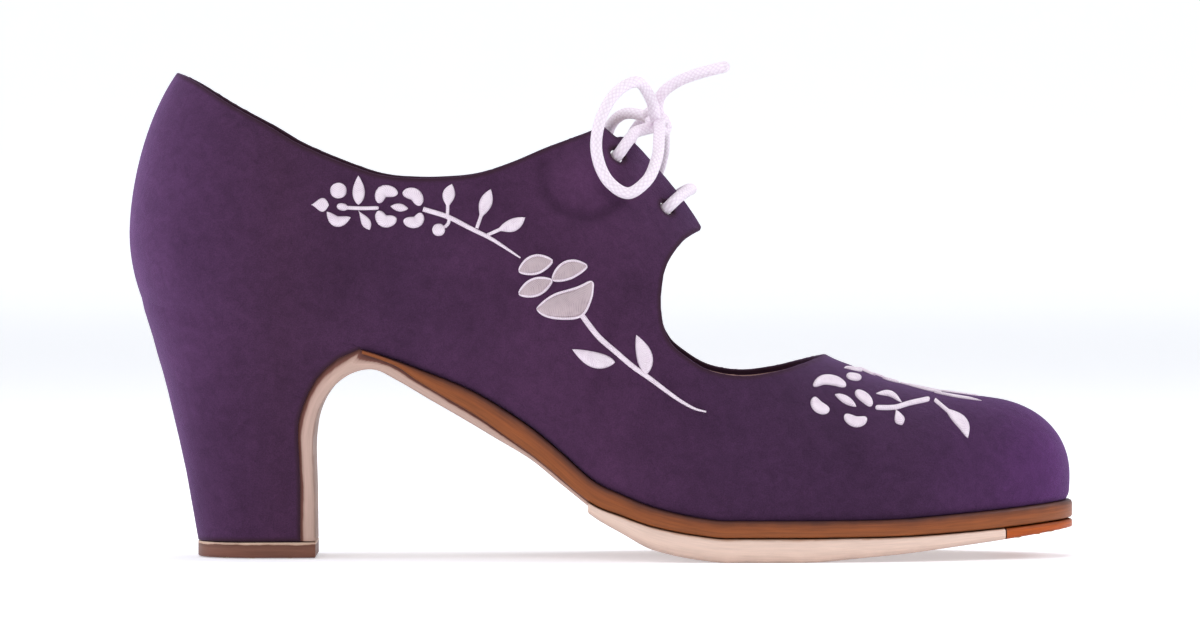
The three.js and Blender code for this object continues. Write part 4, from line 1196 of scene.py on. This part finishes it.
# Waist leather
# A strip of the half sole's leather, skived thin at the waist and turned down the heel's
# breast, where it is thick and its cream edge frames the arch.
waist_leather = 1.0
breast_inset = 0.6
waist_end = float(along(0.487))
breast_side = float(middle(seat_front))
breast_rows, waist_rows = 40, 50
rows = []
for up in np.linspace(0, 1, breast_rows):
    front = heel_ring(up, breast_ends, 1)[0]
    side = breast_side * up
    rows.append((front[0], front[2], front[1] - side - breast_inset, side))
for x in np.linspace(seat_front + 1.5 * gap, waist_end, waist_rows):
    rows.append((x, float(outsole_bottom(x)), float(half_width(x)) - breast_inset,
                 float(middle(x))))
inner_line = np.array(rows)
# The arch that shows, in the side view. It ends as a layer of even thickness.
breast_foot = [heel_base_front + gap + breast_leather, top_lift_thickness]
arch_knots = [breast_foot, (15.0, 16.0), (14.75, 31.0), (16.2, 38.0), (20.0, 43.9)]
waist_knots = [(20.0, 43.9), (25.0, 47.4), (30.2, 48.2), (36.0, 45.5), (44.0, 40.8),
               (51.5, 36.5), (60.5, 31.2)]
waist_knots += [(x, float(outsole_bottom(x)) - gap - waist_leather)
                for x in (70.0, 77.0, waist_end)]


def shared_out(line, count):
    """count points of a polyline, evenly spaced by its length in the side view."""
    far = travelled(line[:, :2])
    even = np.linspace(0, far[-1], count)
    return np.column_stack([np.interp(even, far, column) for column in line.T])


# Both lines are shared out alike on the breast and under the waist.
breast_points, waist_points = 60, 70
inner_line = np.vstack([shared_out(inner_line[:breast_rows], breast_points),
                        shared_out(inner_line[breast_rows - 1:], waist_points)[1:]])
whole_arch = curve_through(arch_knots + waist_knots[1:], 400)
turn_at = int(np.argmin(np.linalg.norm(whole_arch - np.array(arch_knots[-1]), axis=1)))
outer_line = np.vstack([shared_out(whole_arch[:turn_at + 1], breast_points),
                        shared_out(whole_arch[turn_at:], waist_points)[1:]])
# The strip's rounded edge: (inset as a share of its thickness, share of its depth).
corner = [(0, 0), (0, 0.55), (0.05, 0.75), (0.16, 0.92), (0.33, 1)]
points, uv = [], []
for (x, z, half, side), outer_place, far in zip(inner_line, outer_line, travelled(outer_line)):
    depth = outer_place - (x, z)
    bevel = min(np.linalg.norm(depth), breast_leather)
    section = [(-half + inset * bevel, share) for inset, share in corner]
    section += [(-y, share) for y, share in section[::-1]]
    for y, share in section:
        points.append((x + depth[0] * share, side + y, z + depth[1] * share))
        uv.append((far, 1 - share))
faces = tube_faces(len(inner_line), 2 * len(corner))
grey_cream_leather = edge_leather("natural_breast_leather", [
    (0.0, "#a3887c"), (0.14, "#bfa295"), (0.6, "#c9aa9c"), (0.74, "#b8978a"),
    (0.82, "#74473c"), (1.0, "#5a3632")], 0.1, 0.6)
waist = piece("waist_and_breast_leather", points, faces, grey_cream_leather, sharp=40, uv=uv)
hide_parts("waist_leather")


# Top-lift
# Hard stacked leather under the heel, pale on its first layer and stained brown below, held
# by nails for the sound of the dance.
lift_outline = []
for side in (-1, 1):
    ring = heel_ring(0, heel_places, side)
    share = (ring[:, 0] - heel_base_back) / (heel_base_front - heel_base_back)
    lift_outline.append(np.column_stack([heel_base_back + share * top_lift_length, ring[:, 1]]))
loop = np.vstack([lift_outline[0], lift_outline[1][::-1]])
# Rows of (inset, share of its thickness), from the lower face to the upper.
lift_profile = [(0.5, 0.05), (0.12, 0.08), (0, 0.14), (0, 0.5), (0, 0.8), (0, 0.96), (0.1, 1)]
points, uv = [], []
for inset, share in lift_profile:
    height = (top_lift_thickness - gap) * share
    points += [(x, y, height) for x, y in loop - inset * unit(loop)]
    uv += [(far, share) for far in travelled(loop)]
count = len(loop)
faces = tube_faces(len(lift_profile), count, capped=False)
faces += strips_across(0, count, -1) + strips_across((len(lift_profile) - 1) * count, count, 1)
lift_leather = edge_leather("stacked_lift_leather", [
    (0.0, "#5e3a2e"), (0.2, "#74493a"), (0.6, "#7a5040"), (0.84, "#6b4436"),
    (0.88, "#c7a48e"), (1.0, "#d9bda6")], 0.16, 0.5)
top_lift = piece("top_lift_leather", points, faces, lift_leather, sharp=50, uv=uv)
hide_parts("top_lift")


# Nails
# Small brass-headed nails under the toe piece and the top-lift, driven nearly flush. The
# floor has worn their heads, so that they are bright in some places and dull in others.
brass, tree, shader = finish("worn_brass_nail_heads")
place = add(tree, "TexCoord", {}).outputs["Object"]
worn = add(tree, "TexNoise", {"Scale": every(1.11), "Detail": 3.0}, {"Vector": place})
tone = add(tree, "ValToRGB", {"stops": [(0.35, "#9a7a3c"), (0.65, "#d8bc74")]},
           {"Fac": worn.outputs["Fac"]})
rough = add(tree, "MapRange", {"To Min": 0.25, "To Max": 0.5}, {"Value": worn.outputs["Fac"]})
settle(tree, shader, {"Metallic": 1.0},
       {"Base Color": tone.outputs["Color"], "Roughness": rough.outputs["Result"]})
nail_head = 2.4
nail_proud = 0.25
nail_sides = 14
# Shares of the head's radius, and of how far it stands proud, from its root to its crown.
nail_rows = [(1, 0.6), (1, 0), (0.82, -0.55), (0.45, -0.9)]


def nails(name, places):
    """Shallow domed heads at (x, y, z of the leather's lower face)."""
    points, faces = [], []
    for x, y, z in places:
        faces += tube_faces(len(nail_rows), nail_sides, first=len(points))
        for reach, height in nail_rows:
            for k in range(nail_sides):
                turn = 2 * math.pi * k / nail_sides
                points.append((x + nail_head / 2 * reach * math.cos(turn),
                               y + nail_head / 2 * reach * math.sin(turn),
                               z + height * nail_proud))
    piece(name, points, faces, brass, sharp=60)


# Rows of (inset from the edge, number of nails).
toe_nail_places = []
for inset, nail_count in ((3.5, 9), (8.5, 7)):
    start = float(q_at(half_sole_front + 4 + inset / 3))
    for side in (-1, 1):
        for q in np.linspace(start, 1, nail_count // 2 + 1)[:-1]:
            x, y = edge_points(np.array([q]), side, sole_edge - inset)[0]
            toe_nail_places.append((x, y, float(half_sole_bottom(x))))
    x, y = edge_points(np.array([1.0]), 1, sole_edge - inset)[0]
    toe_nail_places.append((x, y, float(half_sole_bottom(x))))
nails("toe_nails", toe_nail_places)
# Rings of (share of the top-lift's outline, points of it from one nail to the next).
lift_nail_places = []
for scale, stride in ((0.78, 12), (0.4, 26)):
    for x, y in loop[4:-4:stride] * scale:
        lift_nail_places.append((x, y, nail_proud))
nails("lift_nails", lift_nail_places)


# Lace
# One round braided cotton lace, through the lower eyelets from inside, up to the upper
# ones, and tied over the instep in a bow of two loops and two ends.
lace_thickness = 3.0
bar_lean = 4.6
bar_round = 1.5
lace_rise = 0.5

# Braided cotton: matt and white, with crossing strands that shade each other. A pick of the
# braid is 1.6 mm long, as on a real lace, and there are eight round it.
braid_pick, braid_strands = 1.613, 8.0
lace_cotton, tree, shader = finish("braided_white_cotton")
uv = add(tree, "UVMap", {}).outputs["UV"]
strands = []
for way in (1.0, -1.0):
    turned = add(tree, "Mapping", {"Scale": (braid_strands, way / braid_pick, 1.0)},
                 {"Vector": uv})
    split = add(tree, "SeparateXYZ", {}, {0: turned.outputs["Vector"]})
    total = add(tree, "Math", {"operation": "ADD"},
                {0: split.outputs["X"], 1: split.outputs["Y"]})
    cycle = add(tree, "Math", {"operation": "MULTIPLY", 1: math.pi},
                {0: total.outputs["Value"]})
    wave = add(tree, "Math", {"operation": "SINE"}, {0: cycle.outputs["Value"]})
    strands.append(add(tree, "Math", {"operation": "ABSOLUTE"}, {0: wave.outputs["Value"]}))
braid = add(tree, "Math", {"operation": "MULTIPLY"},
            {0: strands[0].outputs["Value"], 1: strands[1].outputs["Value"]})
tone = add(tree, "ValToRGB", {"stops": [(0.0, "#eddfea"), (0.4, "#f6e9f4"), (1.0, "#fdf4fb")]},
           {"Fac": braid.outputs["Value"]})
bump = add(tree, "Bump", {"Strength": 0.4, "Distance": 0.3 * MM},
           {"Height": braid.outputs["Value"]})
settle(tree, shader, {"Roughness": 0.8, "Sheen Weight": 0.25},
       {"Base Color": tone.outputs["Color"], "Normal": bump.outputs["Normal"]})

lace_sides = 16
lace_step = 0.55  # from one ring of a lace's mesh to the next


def rope(name, line, radius):
    """A round cord along even points, with rounded tips and a UV for its braid."""
    run = unit(np.gradient(line, axis=0))
    side = np.cross(run[0], (0.3, 0.1, 1.0))
    travel = travelled(line)
    tips = [(-1, 0.12), (-0.92, 0.42), (-0.66, 0.76), (-0.35, 0.94)]
    rings = [(line[0] + run[0] * radius * at, run[0], reach, 0.0) for at, reach in tips]
    rings += [(p, r, 1.0, t) for p, r, t in zip(line, run, travel)]
    rings += [(line[-1] - run[-1] * radius * at, run[-1], reach, travel[-1])
              for at, reach in tips[::-1]]
    points, uv = [], []
    for centre, way, reach, far in rings:
        side = unit(side - (side @ way) * way)
        over = np.cross(way, side)
        for k in range(lace_sides + 1):
            turn = 2 * math.pi * k / lace_sides
            points.append(centre + radius * reach * (math.cos(turn) * side
                                                     + math.sin(turn) * over))
            uv.append((k / lace_sides, far))
    faces = tube_faces(len(rings), lace_sides + 1, seam=True)
    return piece(name, points, faces, lace_cotton, uv=uv)


knot_low, knot_high = (np.array(corner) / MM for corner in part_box("lace_knot"))
bow_seat = (knot_low + knot_high) / 2
bow_routes = {
    "lace_loop_near": [
        (-0.5, -5, 1), (-1.6, -9, 5.5), (-5, -14, 10), (-10.5, -19, 7.3), (-14.6, -23, 0),
        (-15.4, -26, -8), (-12.5, -28, -15), (-7.6, -28.2, -18.1), (-3, -26.5, -15.2),
        (-0.3, -20.5, -9.7), (0.4, -12, -4), (0.5, -6.5, -1)],
    "lace_loop_far": [
        (1.2, 5, 0.8), (1.8, 10, 0), (1.9, 17, -3.2), (1.6, 23, -8.8), (-0.3, 27.5, -14.2),
        (-3.8, 28.5, -17.2), (-7, 26.5, -13.6), (-7.2, 21, -6.5), (-4.6, 13.5, -1),
        (-1.2, 6, 0.6)],
    "lace_end_near": [
        (0.1, -1.7, 3.9), (1.4, -4.8, 7.3), (5.8, -9, 10.4), (10.9, -14, 12.3),
        (16.8, -18.5, 13.8)],
    "lace_end_far": [
        (-4.4, 3.4, 1.7), (-8.4, 8.4, 1.9), (-11.8, 15.2, -1), (-13.4, 21.8, -7),
        (-14.6, 26.6, -13.4), (-15.4, 31, -21.6), (-15.8, 34.2, -30)],
}
# Each strand starts inside the knot, and a loop comes back into it.
knot_roots = {
    "lace_loop_near": ((0, -1.5, 0), (0.4, -1.8, 0)),
    "lace_loop_far": ((0.6, 1.5, 0), (0, 1.8, 0)),
    "lace_end_near": ((0.6, -0.4, 0.2), None),
    "lace_end_far": ((-0.6, 1, 0.2), None),
}

# The knot is a trefoil of a slightly thinner strand, leaning back with the tabs.
knot_lean = 0.62
knot_strand = 0.43  # its radius, as a share of the lace's thickness
turns = np.linspace(0, 2 * math.pi, 97)
knot_line = np.column_stack([
    (np.sin(turns) + 2 * np.sin(2 * turns)) * 1.15,
    np.cos(turns) - 2 * np.cos(2 * turns),
    -np.sin(3 * turns) * 1.2,
])
turned = knot_line.copy()
turned[:, 0] = knot_line[:, 0] * math.cos(knot_lean) + knot_line[:, 2] * math.sin(knot_lean)
turned[:, 2] = -knot_line[:, 0] * math.sin(knot_lean) + knot_line[:, 2] * math.cos(knot_lean)
knot = rope("bow_knot", bow_seat + turned, knot_strand * lace_thickness)
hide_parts("lace_knot")

for name, route in bow_routes.items():
    root, back = knot_roots[name]
    route = [root] + route + ([back] if back else [])
    line = bow_seat + curve_through(route, round(travelled(route)[-1] / lace_step))
    strand = rope(name.replace("lace", "bow"), line, lace_thickness / 2)
    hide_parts(name)


def lifted(x, y, height):
    return instep_point(x, y) + height * instep_normal(x, y)


lace_lift = lace_thickness / 2 + lace_rise
inside = -(wall + lace_thickness / 2 + lace_rise)


def through(name, side, outwards):
    """The lace through one eyelet: points from inside the tab to over the suede."""
    centre = eyelet_place(name, side)
    out = instep_normal(centre[0], centre[1])
    depths = [inside, inside / 2, lace_lift * 0.55]
    passing = [centre + out * depth for depth in depths]
    return passing if outwards else passing[::-1]


def over_instep(name, side, shares):
    """A run over the suede at shares of the way from an eyelet to the middle."""
    centre = eyelet_place(name, side)
    points = []
    for share in shares:
        y = centre[1] + (slot_side - centre[1]) * share
        x = centre[0] + bar_lean * (1 - abs(share - 1) ** bar_round)
        points.append(lifted(x, y, lace_lift))
    return points


run_points = [bow_seat + (0.5, -1.5, -1.2)]
run_points += over_instep("upper", -1, (0.62, 0.36, 0.16))
run_points += through("upper", -1, False) + through("lower", -1, True)
run_points += over_instep("lower", -1, (0.16, 0.4, 0.7, 1.0))
run_points += over_instep("lower", 1, (0.7, 0.4, 0.16))
run_points += through("lower", 1, False) + through("upper", 1, True)
run_points += over_instep("upper", 1, (0.16, 0.36, 0.62))
run_points += [bow_seat + (0.5, 1.5, -1.2)]
lacing = rope("lacing", curve_through(
    run_points, round(travelled(run_points)[-1] / lace_step)), lace_thickness / 2)
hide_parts("lace_bar_upper", "lace_bar_lower")


# Studio
# A pale seamless sweep that glows with painted light, more towards the back than under the
# shoe, five large soft lights around the shoe, and a long lens nearly level with it.
sweep_colour, tree, shader = finish("pale_paper_sweep")
place = add(tree, "TexCoord", {}).outputs["Object"]
fibre = add(tree, "TexNoise", {"Scale": every(33.3), "Detail": 2.0}, {"Vector": place})
tone = add(tree, "ValToRGB", {"stops": [(0.0, "#f4f5f7"), (1.0, "#f8f9fa")]},
           {"Fac": fibre.outputs["Fac"]})
depth = add(tree, "SeparateXYZ", {}, {0: place}).outputs["Y"]
# Painted light: the sweep's emission, stronger towards its back wall, brightens it though it is
# no lamp.
painted_sweep_light = add(tree, "MapRange", {"From Min": 0.8, "From Max": 3.2, "To Min": 0.38,
                              "To Max": 0.56}, {"Value": depth})
settle(tree, shader, {"Roughness": 0.9, "Emission Color": linear("#f8faff")},
       {"Base Color": tone.outputs["Color"], "Emission Strength": painted_sweep_light.outputs["Result"]})
sweep_back, sweep_front, sweep_side, sweep_height, sweep_bend = 5.0, -5.6, 6.0, 3.6, 0.8
profile = [(sweep_front, 0.0), (sweep_back, 0.0)]
for step in range(1, 17):
    turn = RIGHT_ANGLE * step / 16
    profile.append((sweep_back + sweep_bend * math.sin(turn),
                    sweep_bend * (1 - math.cos(turn))))
profile.append((sweep_back + sweep_bend, sweep_height))
mesh = bpy.data.meshes.new("paper_sweep")
mesh.from_pydata(
    [(x, y, z) for y, z in profile for x in (-sweep_side, sweep_side)], [],
    [(2 * i, 2 * i + 1, 2 * i + 3, 2 * i + 2) for i in range(len(profile) - 1)])
mesh.shade_smooth()
mesh.materials.append(sweep_colour)
sweep = bpy.data.objects.new("paper_sweep", mesh)
bpy.context.scene.collection.objects.link(sweep)

world = bpy.data.worlds.new("studio_air")
bpy.context.scene.world = world
world.use_nodes = True
settle(world.node_tree, world.node_tree.nodes["Background"],
       {"Color": linear("#f6f8fc"), "Strength": 0.33})

shoe_middle = Vector((0.0873, 0.0, 0.0615))
lights = {
    "key": ((-0.35, -1.3, 1.25), 1.1, 6.0, "#fffdfb"),
    "fill": ((0.9, -1.0, 0.7), 0.9, 2.6, "#fbfcff"),
    "heel_rim": ((-1.1, -0.1, 0.6), 0.7, 7.0, "#f6f3ff"),
    "toe_rim": ((1.2, 0.1, 0.75), 0.7, 6.0, "#f6f3ff"),
    "top": ((0.1, 0.3, 1.6), 1.2, 9.0, "#ffffff"),
}
for name, (where, size, watts, colour) in lights.items():
    lamp = bpy.data.lights.new(name, "AREA")
    lamp.shape = "DISK"
    lamp.size = size
    lamp.energy = watts
    lamp.color = linear(colour)[:3]
    holder = bpy.data.objects.new(name, lamp)
    holder.location = where
    holder.rotation_euler = (shoe_middle - Vector(where)).to_track_quat("-Z", "Y").to_euler()
    bpy.context.scene.collection.objects.link(holder)

camera_distance = 2.55
camera_rise = math.radians(1.2)
lens, sensor = 300.0, 36.0
camera_data = bpy.data.cameras.new("camera")
camera_data.lens = lens
camera_data.sensor_width = sensor
camera_data.clip_end = 20.0
camera = bpy.data.objects.new("camera", camera_data)
camera.location = shoe_middle + camera_distance * Vector(
    (0.0, -math.cos(camera_rise), math.sin(camera_rise)))
camera.rotation_euler = (shoe_middle - camera.location).to_track_quat("-Z", "Y").to_euler()
bpy.context.scene.collection.objects.link(camera)
bpy.context.scene.camera = camera
bpy.context.scene.view_settings.view_transform = "Standard"
